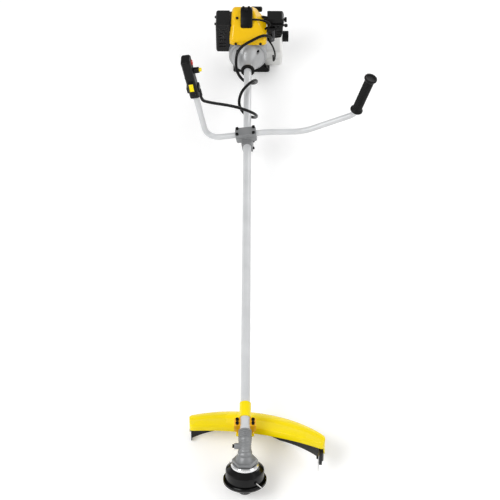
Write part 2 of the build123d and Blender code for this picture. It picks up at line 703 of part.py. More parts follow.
plate = 4.0
seat_depth = bearing_width + 2.0
web_front_y = cylinder_y - 23.0
web_rear_y = cylinder_y + 23.0
web_thick = 10.0
case_hollow_front_y = web_front_y - 4.0
case_hollow_rear_y = web_rear_y + 2.0
deck_half = 32.0
crankcase = on_shaft([
    (0, fan_rear_y), (fan_housing_r, fan_rear_y), (fan_housing_r, fan_rear_y + plate),
    (crankcase_r, fan_rear_y + plate), (crankcase_r, crankcase_rear_y - plate),
    (starter_r, crankcase_rear_y - plate), (starter_r, crankcase_rear_y), (0, crankcase_rear_y)])
crankcase += box(-deck_half, deck_half, cylinder_y - deck_half, cylinder_y + deck_half,
                 shaft_height, cylinder_base)
crankcase -= box(-deck_half, deck_half, cylinder_y - deck_half, cylinder_y + deck_half,
                 cylinder_base, cylinder_base + crankcase_r)
crankcase -= on_shaft(ring(0, web_r + 4, case_hollow_front_y, case_hollow_rear_y))
crankcase -= on_shaft(ring(0, drum_seat_r + seat_gap, fan_rear_y - 1, fan_rear_y + seat_depth))
crankcase -= on_shaft(ring(0, drum_seat_r + seat_gap, crankcase_rear_y - seat_depth, crankcase_rear_y + 1))
crankcase -= on_shaft(ring(0, journal_r + 2, fan_rear_y - 1, crankcase_rear_y + 1))
crankcase -= rod((0, cylinder_y, shaft_height), (0, cylinder_y, cylinder_base + 1), bore_r)
parts["crankcase"] = crankcase
for start in (fan_rear_y + 1.0, crankcase_rear_y - 1.0 - bearing_width):
    bearings.append(on_shaft(ring(journal_r + running, drum_seat_r, start, start + bearing_width)))
parts["shaft_bearings"] = Compound(children=bearings)

crank = on_shaft(ring(0, journal_r, flywheel_front_y, web_front_y))
crank += on_shaft(ring(0, web_r, web_front_y, web_front_y + web_thick))
crank += on_shaft(ring(0, web_r, web_rear_y - web_thick, web_rear_y))
crank += on_shaft(ring(0, journal_r, web_rear_y, crankcase_rear_y + 5))
crank_pin_z = shaft_height - crank_throw
crank += rod((0, web_front_y, crank_pin_z), (0, web_rear_y, crank_pin_z), 7.0)
parts["crankshaft"] = crank

head_thick = 9.0
bore_top = cylinder_top - head_thick
barrel = rod((0, cylinder_y, cylinder_base), (0, cylinder_y, cylinder_top), bore_r + 6)
barrel += box(-deck_half, deck_half, cylinder_y - deck_half, cylinder_y + deck_half,
              cylinder_base, cylinder_base + 5)
fin_z = cylinder_base + 12.0
fins = []
while fin_z < cylinder_top - fin_thick:
    fins.append(box(-fin_half, fin_half, cylinder_y - fin_depth, cylinder_y + fin_depth,
                    fin_z, fin_z + fin_thick))
    fin_z += fin_pitch
barrel += fins
port_x = fin_half + 4.0
exhaust_z = cylinder_base + 33.0
intake_z = cylinder_base + 15.0
port_half = 9.0
barrel += box(-port_x, -bore_r, cylinder_y - 16, cylinder_y + 16, exhaust_z - port_half, exhaust_z + port_half)
barrel += box(bore_r, port_x, cylinder_y - 16, cylinder_y + 16, intake_z - port_half, intake_z + port_half)
barrel -= rod((0, cylinder_y, cylinder_base - 1), (0, cylinder_y, bore_top), bore_r)
barrel -= rod((-port_x - 1, cylinder_y, exhaust_z), (0, cylinder_y, exhaust_z), 6.0)
barrel -= rod((0, cylinder_y, intake_z), (port_x + 1, cylinder_y, intake_z), 6.0)
plug_thread_r = 5.0
barrel -= rod((0, cylinder_y, bore_top - 1), (0, cylinder_y, cylinder_top + 1), plug_thread_r)
parts["cylinder"] = barrel

piston_floor = cylinder_base + 4.0
piston = rod((0, cylinder_y, piston_floor), (0, cylinder_y, piston_floor + piston_height), bore_r - running)
piston -= rod((0, cylinder_y, piston_floor - 1), (0, cylinder_y, piston_floor + piston_height - 4), bore_r - 4)
parts["piston"] = piston

plug_steps = [(bore_top, cylinder_top, plug_thread_r), (cylinder_top, cylinder_top + 6, 9.0),
              (cylinder_top + 6, cylinder_top + 19, 5.0), (cylinder_top + 19, cylinder_top + 24, 3.0)]
spark_plug = None
for low, high, radius in plug_steps:
    step = rod((0, cylinder_y, low), (0, cylinder_y, high), radius)
    spark_plug = step if spark_plug is None else spark_plug + step
parts["spark_plug"] = spark_plug

# Yellow engine shroud and the black cover over the spark plug

crown_front_y = cylinder_y - 7.0
crown_rear_y = cylinder_y + 17.0
slope_y = cylinder_y - 49.0
slope_z = shroud_top - 31.0
bib_top = shroud_bottom + 18.0
shoulder_high = (38.0, shroud_top - 30)
shoulder_low = (shroud_right, shroud_bottom + 22)
shroud_side = make_face(Polyline(
    (shroud_rear_y, shroud_bottom), (shroud_rear_y, shroud_top - 22), (crown_rear_y, shroud_top),
    (crown_front_y, shroud_top), (slope_y, slope_z), (shroud_front_y, bib_top), (shroud_front_y, shroud_bottom),
    close=True))
shroud_face = make_face(Polyline(
    (shroud_left, shroud_bottom), (shroud_left, bib_top), (shroud_left + 10, shroud_top), (20, shroud_top),
    shoulder_high, shoulder_low, (shroud_right, shroud_bottom), close=True))
shroud_reach = 400.0
shroud_skin = Pos(-shroud_reach / 2, 0, 0) * extrude(Plane.YZ * shroud_side, shroud_reach)
shroud_skin &= Pos(0, shroud_reach / 2, 0) * extrude(Plane.XZ * shroud_face, shroud_reach)
soft_edges = [edge for edge in shroud_skin.edges() if edge.bounding_box().max.Z > shroud_bottom + 1]
shroud_skin = fillet(soft_edges, shroud_round)
shroud = offset(shroud_skin, amount=-shroud_wall, openings=shroud_skin.faces().sort_by(Axis.Z)[0])
shroud -= on_shaft(ring(0, fan_housing_r + seat_gap, clutch_rear_y - 1, fan_rear_y + plate))
shroud -= on_shaft(ring(0, clutch_flange_r + 0.6, shroud_front_y - 1, clutch_rear_y))
neck_half = 15.0
shroud -= box(shroud_left - 1, 0, cylinder_y - neck_half - 3, cylinder_y + neck_half + 3,
              shroud_bottom - 1, exhaust_z + port_half + 3)
shroud -= box(0, shroud_right + 1, cylinder_y - neck_half, cylinder_y + neck_half,
              shroud_bottom - 1, intake_z + port_half + 3)
parts["engine_shroud"] = shroud

cover_left = -24.0
cover_right = 14.0
cover_rise = 11.0
cover_rear_y = crown_front_y + 10.0
cover_front_y = slope_y - 4.0
cover_top = shroud_top + cover_rise
cover = make_face(Polyline(
    (cover_rear_y, slope_z - 20), (cover_rear_y, cover_top), (crown_front_y - 6, cover_top),
    (crown_front_y - 32, cover_top - 18), (cover_front_y, slope_z + 7), (cover_front_y, slope_z - 20),
    close=True))
cover = fillet(cover.vertices().filter_by(lambda corner: corner.Y > slope_z), 5)
cover = Pos(cover_left, 0, 0) * extrude(Plane.YZ * cover, cover_right - cover_left)
cover = fillet(cover.faces().filter_by(Axis.X).edges(), 4)
for ear_x in (cover_left + 8, cover_right - 11):
    cover += rod((ear_x, cover_rear_y - 6, cover_top - 6), (ear_x, cover_rear_y - 6, cover_top + 5), 4.0)
cover -= shroud_skin
parts["plug_cover"] = cover

# Muffler in its black heat guard, on the left

guard_right_x = shroud_left - 1.0
muffler_right = guard_right_x - muffler_gap
muffler_room = muffler_gap + guard_sheet
muffler_wall = 1.5


def muffler_can(inset):
    """The can of the muffler, drawn in by an inset."""
    room = muffler_room + inset
    return soft_box(muffler_left + room, muffler_right - inset, muffler_front_y + room, muffler_rear_y - room,
                    muffler_bottom + room, muffler_top - room, 6 - inset)


muffler = muffler_can(0)
muffler += box(muffler_right - 2, -port_x, cylinder_y - neck_half, cylinder_y + neck_half,
               exhaust_z - port_half, exhaust_z + port_half)
muffler -= muffler_can(muffler_wall)
muffler -= rod((muffler_right - 10, cylinder_y, exhaust_z), (-port_x + 1, cylinder_y, exhaust_z), 6.0)
heat_guard = box(muffler_left, guard_right_x, muffler_front_y, muffler_rear_y, muffler_bottom, muffler_top)
heat_guard = fillet(heat_guard.faces().sort_by(Axis.X)[0].edges(), guard_round)
guard_room = box(muffler_left + guard_sheet, 0, muffler_front_y + guard_sheet, muffler_rear_y - guard_sheet,
                 muffler_bottom + guard_sheet, muffler_top - guard_sheet)
heat_guard -= fillet(guard_room.faces().sort_by(Axis.X)[0].edges(), guard_round - guard_sheet)
heat_guard -= on_shaft(ring(0, fan_housing_r + 0.6, clutch_rear_y, fan_rear_y + plate + 0.6))
vent_count = 6
vent_pitch = (muffler_top - muffler_bottom - 30) / vent_count
for index in range(vent_count):
    vent_z = muffler_bottom + 20 + index * vent_pitch
    heat_guard -= box(muffler_left + 12, guard_right_x - 12, muffler_front_y - 1, muffler_front_y + 3,
                      vent_z, vent_z + 6)
    heat_guard -= box(muffler_left - 1, muffler_left + 3, muffler_front_y + 14, muffler_rear_y - 14,
                      vent_z, vent_z + 6)
parts["muffler"] = muffler
parts["muffler_guard"] = heat_guard

# Carburettor, air filter and choke lever, on the right

intake_reach = 31.0
carb_left = port_x + intake_reach
carb_right = filter_split - 2.0
carb_front_y = cylinder_y - 19.0
carb_rear_y = cylinder_y + 19.0
carb_bottom = filter_bottom - 31.0
carb_x = (carb_left + carb_right) / 2
carburettor = box(carb_left, carb_right, carb_front_y, carb_rear_y, carb_bottom, filter_bottom)
carburettor = fillet(carburettor.edges().filter_by(Axis.Z), 5)
carburettor += rod((port_x, cylinder_y, intake_z), (carb_left + 2, cylinder_y, intake_z), 10.0)
carburettor += rod((carb_x, cylinder_y, carb_bottom - 24), (carb_x, cylinder_y, carb_bottom + 1), 14.0)
gland_z = filter_bottom - 10.0
cable_x = carb_right - 14.0
gland_front_y = carb_front_y - 10.0
carburettor += rod((cable_x, gland_front_y, gland_z), (cable_x, carb_front_y + 1, gland_z), 6.5)
carburettor -= rod((port_x - 1, cylinder_y, intake_z), (carb_x, cylinder_y, intake_z), 6.0)
parts["carburettor"] = carburettor

filter_wall = 2.5
filter_case = box(filter_left, filter_split, filter_front_y, filter_rear_y, filter_bottom, filter_top)
filter_case -= box(filter_left + filter_wall, filter_split + 1, filter_front_y + filter_wall,
                   filter_rear_y - filter_wall, filter_bottom + filter_wall, filter_top - filter_wall)
filter_cover = box(filter_split, filter_right, filter_front_y, filter_rear_y, filter_bottom, filter_top)
filter_cover = fillet(filter_cover.faces().sort_by(Axis.X)[-1].edges(), 8)
filter_cover -= box(filter_split - 1, filter_right - filter_wall - 4, filter_front_y + filter_wall,
                    filter_rear_y - filter_wall, filter_bottom + filter_wall, filter_top - filter_wall)
for vent_z in (filter_top - 22, filter_top - 36):
    filter_cover -= box(filter_split + 4, filter_split + 12, filter_front_y - 1, filter_front_y + 4,
                        vent_z, vent_z + 4)
choke_x = (filter_left + filter_split) / 2
choke_z = filter_bottom + 16.0
choke_pin_r = 3.0
filter_case -= rod((choke_x, filter_front_y - 1, choke_z), (choke_x, filter_front_y + filter_wall + 1, choke_z),
                   choke_pin_r + running)
parts["air_filter_case"] = filter_case
parts["air_filter_cover"] = filter_cover

choke_front_y = filter_front_y - 4.0
choke_back_y = filter_front_y - 1.0
choke_tip_x = filter_right + 8.0
choke = rod((choke_x, choke_front_y, choke_z), (choke_x, filter_front_y + filter_wall, choke_z), choke_pin_r)
choke += rod((choke_x, choke_front_y, choke_z), (choke_x, choke_back_y, choke_z), 6.0)
choke += box(choke_x, choke_tip_x, choke_front_y, choke_back_y, choke_z - 3, choke_z + 3)
choke += rod((choke_tip_x, choke_front_y - 3, choke_z), (choke_tip_x, choke_back_y, choke_z), 6.0)
parts["choke_lever"] = choke

# Stand, fuel tank and fuel cap

foot_depth = 8.0
stand = box(stand_left, stand_right, stand_front_y, stand_rear_y, 0, stand_plate)
stand = fillet(stand.edges().filter_by(Axis.Z), 10)
wall_points = [(stand_left, stand_plate), (stand_right, stand_plate), (stand_right - 20, stand_plate + 34),
               (crankcase_r - 4, shaft_height - 20), (-crankcase_r + 4, shaft_height - 20),
               (stand_left + 12, stand_plate + 34)]
wall_plane = Plane.XZ.offset(-stand_front_y)
front_wall = extrude(make_face(wall_plane * Polyline(*wall_points, close=True)), -foot_depth)
stand += front_wall
stand -= on_shaft(ring(0, crankcase_r, fan_rear_y, crankcase_rear_y))
parts["engine_stand"] = stand

tank = soft_box(tank_left, tank_right, tank_front_y, tank_rear_y, stand_plate, tank_top, 12)
neck_y = 62.0
neck_z = 58.0
filler_r = cap_r - 6.0
filler_end = tank_right + 14.0
tank += rod((tank_right - 6, neck_y, neck_z), (filler_end, neck_y, neck_z), filler_r)
tank -= soft_box(tank_left + tank_wall, tank_right - tank_wall,
                 tank_front_y + tank_wall, tank_rear_y - tank_wall,
                 stand_plate + tank_wall, tank_top - tank_wall, 9.5)
tank -= rod((tank_right - 10, neck_y, neck_z), (filler_end + 1, neck_y, neck_z), filler_r - 3)
parts["fuel_tank"] = tank
cap_start = tank_right + 2.0
cap = rod((cap_start, neck_y, neck_z), (cap_start + cap_length, neck_y, neck_z), cap_r)
cap -= rod((cap_start - 1, neck_y, neck_z), (filler_end + 0.3, neck_y, neck_z), filler_r + running)
grip_cuts = 16
for index in range(grip_cuts):
    turn = 2 * math.pi * index / grip_cuts
    groove_y = neck_y + (cap_r + 0.8) * math.cos(turn)
    groove_z = neck_z + (cap_r + 0.8) * math.sin(turn)
    cap -= rod((cap_start + 3, groove_y, groove_z), (cap_start + cap_length + 1, groove_y, groove_z), 2.0)
parts["fuel_cap"] = cap

# Recoil starter: housing with a post and a rope guide, pulley, rope and handle

starter_wall = 2.5
starter_in_r = starter_r - starter_wall
post_front_y = rope_y - 12.0
starter = on_shaft([
    (0, post_front_y), (starter_post_r, post_front_y), (starter_post_r, starter_rear_y - starter_wall),
    (starter_in_r, starter_rear_y - starter_wall), (starter_in_r, crankcase_rear_y),
    (starter_r, crankcase_rear_y),
    (starter_r, starter_rear_y - 6), (starter_r - 6, starter_rear_y), (0, starter_rear_y)])
guide = rod((rope_x, rope_y, shaft_height), (rope_x, rope_y, guide_top), 9.0)
guide -= on_shaft(ring(0, starter_in_r, crankcase_rear_y, starter_rear_y - starter_wall))
starter += guide
starter -= rod((rope_x, rope_y, shaft_height), (rope_x, rope_y, guide_top + 1), rope_r + free_gap)
ear_r = 6.0
ear_ring = starter_r + 3.0
ear_depth = 8.0
starter_screws = []
for turn_deg in (0, 120, 240):
    ear_x = ear_ring * math.cos(math.radians(turn_deg))
    ear_z = shaft_height + ear_ring * math.sin(math.radians(turn_deg))
    ear = rod((ear_x, crankcase_rear_y, ear_z), (ear_x, crankcase_rear_y + ear_depth, ear_z), ear_r)
    starter += ear - on_shaft(ring(0, starter_in_r, crankcase_rear_y - 1, crankcase_rear_y + ear_depth + 1))
    parts["crankcase"] += rod((ear_x, crankcase_rear_y - plate, ear_z), (ear_x, crankcase_rear_y, ear_z), ear_r)
    starter_screws.append(((ear_x, crankcase_rear_y + ear_depth, ear_z), (0, -1, 0), ear_depth + plate))
vent_slots = 10
for index in range(vent_slots):
    slot = box(16, starter_r - 12, starter_rear_y - 4, starter_rear_y + 1, -1.8, 1.8)
    starter -= Pos(0, 0, shaft_height) * Rot(0, index * 360 / vent_slots, 0) * slot
parts["starter_housing"] = starter
groove_r = rope_x - rope_r - 0.5
groove_half = rope_r + 1.0
pulley_half = 9.0
parts["starter_pulley"] = on_shaft([
    (starter_post_r + running, rope_y - pulley_half), (pulley_r, rope_y - pulley_half),
    (pulley_r, rope_y - groove_half), (groove_r, rope_y - groove_half), (groove_r, rope_y + groove_half),
    (pulley_r, rope_y + groove_half), (pulley_r, rope_y + pulley_half),
    (starter_post_r + running, rope_y + pulley_half)])
rope_top = guide_top + 10.0
rope = rod((rope_x, rope_y, shaft_height), (rope_x, rope_y, rope_top), rope_r)
parts["starter_rope"] = rope
handle_bottom = guide_top + 0.3
pull = rod((rope_x, rope_y, handle_bottom), (rope_x, rope_y, guide_top + 24), 7.0)
pull += soft_box(rope_x - 21, rope_x + 21, rope_y - 8, rope_y + 8, guide_top + 18, guide_top + 36, 6)
parts["starter_handle"] = pull - rope

# Cords and hoses: straight runs joined by arcs as large as the runs allow


def cord(points, radius, name):
    """A round cord through the corners of a route."""
    places = [Vector(*point) for point in points]
    bends = []
    for before, at, after in zip(places, places[1:], places[2:]):
        turn = math.radians((at - before).get_angle(after - at))
        shorter = min((at - before).length, (after - at).length)
        bends.append(0.45 * shorter / math.tan(turn / 2))
    path = FilletPolyline(*places, radius=bends)
    solid = sweep(Plane(origin=path @ 0, z_dir=path % 0) * Circle(radius), path=path)
    expected = math.pi * radius**2 * path.length
    print(name, "length", round(path.length), "radii", [round(bend) for bend in bends],
          "volume share", round(solid.volume / expected, 4))
    return solid


cable_r = 5.0
gland_end = handle_plane.from_local_coords(Vector(gland_x, gland_y, -gland_drop))
gland_lead = handle_plane.from_local_coords(Vector(gland_x, gland_y, -gland_drop - 36))
# The middle of the cable's way, as (right, along, above the shaft axis)
cable_middle = [
    (-128, -545, 142), (-100, -532, 118), (-62, -516, 98), (-18, -500, 78), (20, -484, 50), (33, -462, 16),
    (25, -430, -24), (-8, -408, -32), (-31, -392, -2), (-24, -370, 34), (0, -338, 43), (26, -304, 36),
    (33, -282, 6), (22, -254, -28), (-12, -238, -34), (-37, -226, -4), (-42, -210, 28), (-38, -190, 56),
    (-20, -174, 74), (16, -163, 90), (50, -148, 99), (74, -136, 88)]
cable_route = [(*gland_end,), (*gland_lead,)]
cable_route += [(x, y, shaft_height + lift) for x, y, lift in cable_middle]
cable_route += [(cable_x, -128, gland_z + 12), (cable_x, -116, gland_z), (cable_x, gland_front_y, gland_z)]
parts["control_cable"] = cord(cable_route, cable_r, "control_cable")
lead_z = slope_z + 17.0
lead_y = -100.0
lead_share = 0.78
lead_top = Vector(shoulder_high[0], lead_y, shoulder_high[1])
lead_foot = lead_top + (Vector(shoulder_low[0], lead_y, shoulder_low[1]) - lead_top) * lead_share
lead_out = Vector(shoulder_high[1] - shoulder_low[1], 0, shoulder_low[0] - shoulder_high[0]).normalized()
lead_route = [(cover_right, lead_y, lead_z), (30, lead_y, lead_z + 1), (50, lead_y - 4, lead_z),
              (70, lead_y - 5, lead_z - 7), (79, lead_y - 2, lead_z - 20), (*(lead_foot + lead_out * 14),),
              (*lead_foot,)]
parts["plug_lead"] = cord(lead_route, 3.5, "plug_lead")
hose_z = carb_bottom + 8.0
hose_route = [(72, carb_front_y, hose_z), (72, -104, hose_z), (86, -117, hose_z - 12),
              (97, -120, shaft_height - 2), (97, -112, shaft_height - 34),
              (93, -94, 72), (92, -74, 60), (92, tank_front_y, 60)]
parts["fuel_hose"] = cord(hose_route, 3.0, "fuel_hose")

# Screws of the engine

clutch_screws = []
for turn_deg in (45, 135, 225, 315):
    place_x = clutch_screw_ring * math.cos(math.radians(turn_deg))
    place_z = shaft_height + clutch_screw_ring * math.sin(math.radians(turn_deg))
    seat_y = clutch_rear_y - clutch_screw_seat
    clutch_screws.append(((place_x, seat_y, place_z), (0, 1, 0), clutch_screw_seat + 2.5))
    pocket = rod((place_x, seat_y - 40, place_z), (place_x, seat_y, place_z), screw_head_r + 1.2)
    parts["clutch_housing"] -= pocket
guard_screws = [((muffler_left, y, muffler_top - 12), (1, 0, 0), 14)
                for y in (muffler_front_y + 22, muffler_rear_y - 22)]
slope_run = math.hypot(crown_front_y - slope_y, shroud_top - slope_z)
slope_in = (0, (shroud_top - slope_z) / slope_run, -(crown_front_y - slope_y) / slope_run)
slope_mid = ((crown_front_y + slope_y) / 2, (shroud_top + slope_z) / 2)
shroud_screws = [((-38, *slope_mid), slope_in, shroud_wall + 2)]
shroud_screws += [((x, shroud_front_y, shroud_bottom + 6.5), (0, 1, 0), shroud_wall + 2) for x in (-42, 44)]
stand_screws = [((x, stand_front_y, stand_plate + 16), (0, 1, 0), foot_depth)
                for x in (stand_left + 16, stand_right - 16)]
drilled = {"clutch_housing": clutch_screws, "fan_housing": clutch_screws, "muffler_guard": guard_screws,
           "muffler": guard_screws, "engine_shroud": shroud_screws, "engine_stand": stand_screws,
           "starter_housing": starter_screws, "crankcase": starter_screws}
for node, bolts in drilled.items():
    for bolt in bolts:
        parts[node] -= screw_body(*bolt)
engine_bolts = clutch_screws + guard_screws + shroud_screws + stand_screws + starter_screws
parts["engine_screws"] = Compound(children=[screw(*bolt) for bolt in engine_bolts])
parts["tube_bolts"] = Compound(children=tube_bolts)

os.makedirs("parts", exist_ok=True)
for name, shape in parts.items():
    export_step(shape, f"parts/{name}.step")
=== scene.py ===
# %% [markdown]
# This lesson dresses a string trimmer. Its solid pieces come packed from the CAD model, in their true
# places and in metres. Pieces whose shape is right keep it and get a finish; the others are modelled anew,
# piece by piece.

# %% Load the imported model
import json
import math

import bmesh
import bpy
from mathutils import Matrix, Vector


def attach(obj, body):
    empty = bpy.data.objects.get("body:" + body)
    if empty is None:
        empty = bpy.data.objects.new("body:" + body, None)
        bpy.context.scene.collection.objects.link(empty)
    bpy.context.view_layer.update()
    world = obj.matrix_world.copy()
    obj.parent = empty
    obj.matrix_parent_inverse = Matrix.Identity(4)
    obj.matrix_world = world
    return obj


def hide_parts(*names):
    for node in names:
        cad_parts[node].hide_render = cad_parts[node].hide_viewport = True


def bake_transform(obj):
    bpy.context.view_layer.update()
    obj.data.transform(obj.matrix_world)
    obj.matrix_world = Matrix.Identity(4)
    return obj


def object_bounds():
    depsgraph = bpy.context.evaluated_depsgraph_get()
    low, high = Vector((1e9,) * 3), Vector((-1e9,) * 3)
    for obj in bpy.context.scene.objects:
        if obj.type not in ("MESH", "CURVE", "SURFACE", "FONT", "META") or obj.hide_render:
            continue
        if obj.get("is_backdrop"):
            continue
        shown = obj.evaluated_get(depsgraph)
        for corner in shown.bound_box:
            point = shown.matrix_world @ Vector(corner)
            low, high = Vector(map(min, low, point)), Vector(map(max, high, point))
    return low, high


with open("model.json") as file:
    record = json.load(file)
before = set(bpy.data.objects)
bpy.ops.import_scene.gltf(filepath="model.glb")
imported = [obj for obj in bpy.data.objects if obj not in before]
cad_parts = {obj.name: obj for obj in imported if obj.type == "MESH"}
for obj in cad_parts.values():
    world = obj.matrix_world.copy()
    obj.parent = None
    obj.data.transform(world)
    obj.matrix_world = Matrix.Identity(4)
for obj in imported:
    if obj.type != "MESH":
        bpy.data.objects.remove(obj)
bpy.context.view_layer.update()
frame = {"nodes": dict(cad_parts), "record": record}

nodes = frame["nodes"]
bpy.ops.object.select_all(action="DESELECT")

# %% [markdown]
# The trimmer lies on the floor with its cutting head towards us and its engine far away. The camera stands
# high over the head and looks down along the shaft through a long lens, so the far engine looks small and
# the near guard looks wide. A colour should render about as it is written, so the picture keeps the plain
# Standard view.

# %% Camera and plain view
tilt_from_down = math.radians(38.95)
roll = math.radians(0.26)
bpy.ops.object.camera_add(location=(0.0108, -2.9687, 2.5394))
camera = bpy.context.object
camera.rotation_euler = (Matrix.Rotation(tilt_from_down, 3, "X") @ Matrix.Rotation(roll, 3, "Z")).to_euler()
camera.data.lens = 74.1
camera.data.sensor_width = 36.0
bpy.context.scene.camera = camera
bpy.context.scene.view_settings.view_transform = "Standard"
print("camera lens", camera.data.lens, "mm")

# %% [markdown]
# A product picture has a white sweep below the object. Here the floor is one big plane. What the camera
# sees of it, straight or in a reflection, gets a little light of its own, which brings it to white. The
# part that is lit by the lamps still darkens under the object, so the shadow stays.

# %% Floor


def new_material(name):
    """An empty node material with its output and one Principled shader."""
    material = bpy.data.materials.new(name)
    material.use_nodes = True
    tree = material.node_tree
    shader = tree.nodes["Principled BSDF"]
    return material, tree, shader


def math_node(tree, operation, first, second):
    """One Math node whose inputs are sockets or numbers."""
    node = tree.nodes.new("ShaderNodeMath")
    node.operation = operation
    for index, value in enumerate((first, second)):
        if isinstance(value, (int, float)):
            node.inputs[index].default_value = value
        else:
            tree.links.new(value, node.inputs[index])
    return node.outputs[0]


floor_lift = 0.24
bpy.ops.mesh.primitive_plane_add(size=30, location=(0, -0.8, 0))
floor = bpy.context.object
floor.name = "studio_floor"
floor_material, floor_tree, floor_shader = new_material("studio_floor")
floor_shader.inputs["Base Color"].default_value = (0.86, 0.86, 0.86, 1)
floor_shader.inputs["Roughness"].default_value = 0.9
floor_shader.inputs["Specular IOR Level"].default_value = 0.1
light_path = floor_tree.nodes.new("ShaderNodeLightPath")
seen = light_path.outputs["Is Camera Ray"]
for kind in ("Is Glossy Ray", "Is Transmission Ray"):
    seen = math_node(floor_tree, "MAXIMUM", seen, light_path.outputs[kind])
own_light = math_node(floor_tree, "MULTIPLY", seen, floor_lift)
floor_shader.inputs["Emission Color"].default_value = (1, 1, 1, 1)
floor_tree.links.new(own_light, floor_shader.inputs["Emission Strength"])
floor.data.materials.append(floor_material)
floor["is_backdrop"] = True
print("floor of", round(floor.dimensions.x), "m")

# %% [markdown]
# The room round the object has white walls and a dimmer ceiling. So the world is white all over, and its
# strength follows the height of the direction that is looked in.

# %% World
wall_light = 1.0
ceiling_light = 0.5
wall_foot = 0.05
wall_top = 0.30
world = bpy.data.worlds.new("studio_room")
bpy.context.scene.world = world
world.use_nodes = True
room = world.node_tree
background = room.nodes["Background"]
background.inputs["Color"].default_value = (1, 1, 1, 1)
room_coords = room.nodes.new("ShaderNodeTexCoord")
room_height = room.nodes.new("ShaderNodeSeparateXYZ")
room.links.new(room_coords.outputs["Generated"], room_height.inputs[0])
room_level = room.nodes.new("ShaderNodeMapRange")
room_level.inputs["From Min"].default_value = wall_foot
room_level.inputs["From Max"].default_value = wall_top
room_level.inputs["To Min"].default_value = wall_light
room_level.inputs["To Max"].default_value = ceiling_light
room.links.new(room_height.outputs["Z"], room_level.inputs["Value"])
room.links.new(room_level.outputs["Result"], background.inputs["Strength"])
print("world with", len(room.nodes), "nodes")

# %% [markdown]
# Three large soft lamps light the object: a strong one from the left, a weak one from the right that fills
# the shadows, and one from behind that draws a bright edge. A large lamp gives a soft shadow.

# %% Lamps
lamp_target = Vector((0, -0.85, 0.1))


def soft_lamp(name, place, size, watts):
    """A square soft box that points at the middle of the object."""
    bpy.ops.object.light_add(type="AREA", location=place)
    lamp = bpy.context.object
    lamp.name = name
    lamp.data.size = size
    lamp.data.energy = watts
    lamp.rotation_euler = (lamp_target - Vector(place)).to_track_quat("-Z", "Y").to_euler()
    print(name, "of", watts, "W")


soft_lamp("key_lamp", place=(-2.4, -2.6, 3.4), size=2.2, watts=95)
soft_lamp("fill_lamp", place=(2.8, -2.0, 2.4), size=2.5, watts=32)
soft_lamp("back_lamp", place=(1.9, 2.6, 1.3), size=2.0, watts=40)

# %% [markdown]
# Effects that several finishes share are made once as node groups, with named inputs, so that each finish
# can place the same group with its own values. Three small helpers make a group, a noise and a stretched
# value.

# %% How a node group is made


def new_group(name, inputs, outputs):
    """A shader node group with float inputs (name, default) and named outputs."""
    group = bpy.data.node_groups.new(name, "ShaderNodeTree")
    for label, default in inputs:
        socket = group.interface.new_socket(label, in_out="INPUT", socket_type="NodeSocketFloat")
        socket.default_value = default
    for label in outputs:
        group.interface.new_socket(label, in_out="OUTPUT", socket_type="NodeSocketFloat")
    start = group.nodes.new("NodeGroupInput")
    end = group.nodes.new("NodeGroupOutput")
    return group, start, end


def noise(tree, scale, detail, coords):
    """A noise texture on the given coordinates. The scale is a number or a socket."""
    node = tree.nodes.new("ShaderNodeTexNoise")
    node.inputs["Detail"].default_value = detail
    if isinstance(scale, (int, float)):
        node.inputs["Scale"].default_value = scale
    else:
        tree.links.new(scale, node.inputs["Scale"])
    tree.links.new(coords, node.inputs["Vector"])
    return node.outputs["Fac"]


def stretch(tree, value, low, high):
    """Maps a value so that low becomes 0 and high becomes 1."""
    node = tree.nodes.new("ShaderNodeMapRange")
    node.inputs["From Min"].default_value = low
    node.inputs["From Max"].default_value = high
    tree.links.new(value, node.inputs["Value"])
    return node.outputs["Result"]


print("helpers for node groups")

# %% [markdown]
# The first group is moulded grain: a very fine noise for the skin, with a slow change of tone, as plastic
# from a spark-worn mould has.

# %% Moulded grain
grain_group, start, end = new_group("moulded_grain", [("Scale", 1500.0)], ["Height", "Tone"])
coords = grain_group.nodes.new("ShaderNodeTexCoord").outputs["Object"]
fine = noise(grain_group, scale=start.outputs["Scale"], detail=3.0, coords=coords)
slow = noise(grain_group, scale=14.0, detail=2.0, coords=coords)
grain_group.links.new(fine, end.inputs["Height"])
grain_group.links.new(stretch(grain_group, slow, low=0.3, high=0.7), end.inputs["Tone"])
print("group", grain_group.name)

# %% [markdown]
# Paint and plastic wear along their edges, and on the pressed black the same light edge is a painted
# highlight. A Bevel node gives a rounded normal, and where it differs from the true one there is an edge.
# Inner corners count too, but they are hardly seen. Noise breaks the mask up, so that the wear and the
# painted highlight aren't an even line.

# %% Edge wear and painted edge highlight
rub_and_highlight_group, start, end = new_group("edge_rub_and_highlight", [("Width", 0.0012), ("Breakup", 160.0)], ["Mask"])
bevel = rub_and_highlight_group.nodes.new("ShaderNodeBevel")
bevel.samples = 4
rub_and_highlight_group.links.new(start.outputs["Width"], bevel.inputs["Radius"])
normal = rub_and_highlight_group.nodes.new("ShaderNodeNewGeometry").outputs["Normal"]
likeness = rub_and_highlight_group.nodes.new("ShaderNodeVectorMath")
likeness.operation = "DOT_PRODUCT"
rub_and_highlight_group.links.new(bevel.outputs["Normal"], likeness.inputs[0])
rub_and_highlight_group.links.new(normal, likeness.inputs[1])
edges = stretch(rub_and_highlight_group, likeness.outputs["Value"], low=0.995, high=0.86)
coords = rub_and_highlight_group.nodes.new("ShaderNodeTexCoord").outputs["Object"]
rub_and_highlight_breakup = noise(rub_and_highlight_group, scale=start.outputs["Breakup"], detail=4.0, coords=coords)
patches = stretch(rub_and_highlight_group, rub_and_highlight_breakup, low=0.42, high=0.62)
rub_and_highlight_group.links.new(math_node(rub_and_highlight_group, "MULTIPLY", edges, patches), end.inputs["Mask"])
print("group", rub_and_highlight_group.name)

# %% [markdown]
# Tube that is drawn through a die has faint lines along its length. They are a noise that changes fast
# across the shaft and slowly along it, so the coordinates are multiplied by a different rate on each axis.

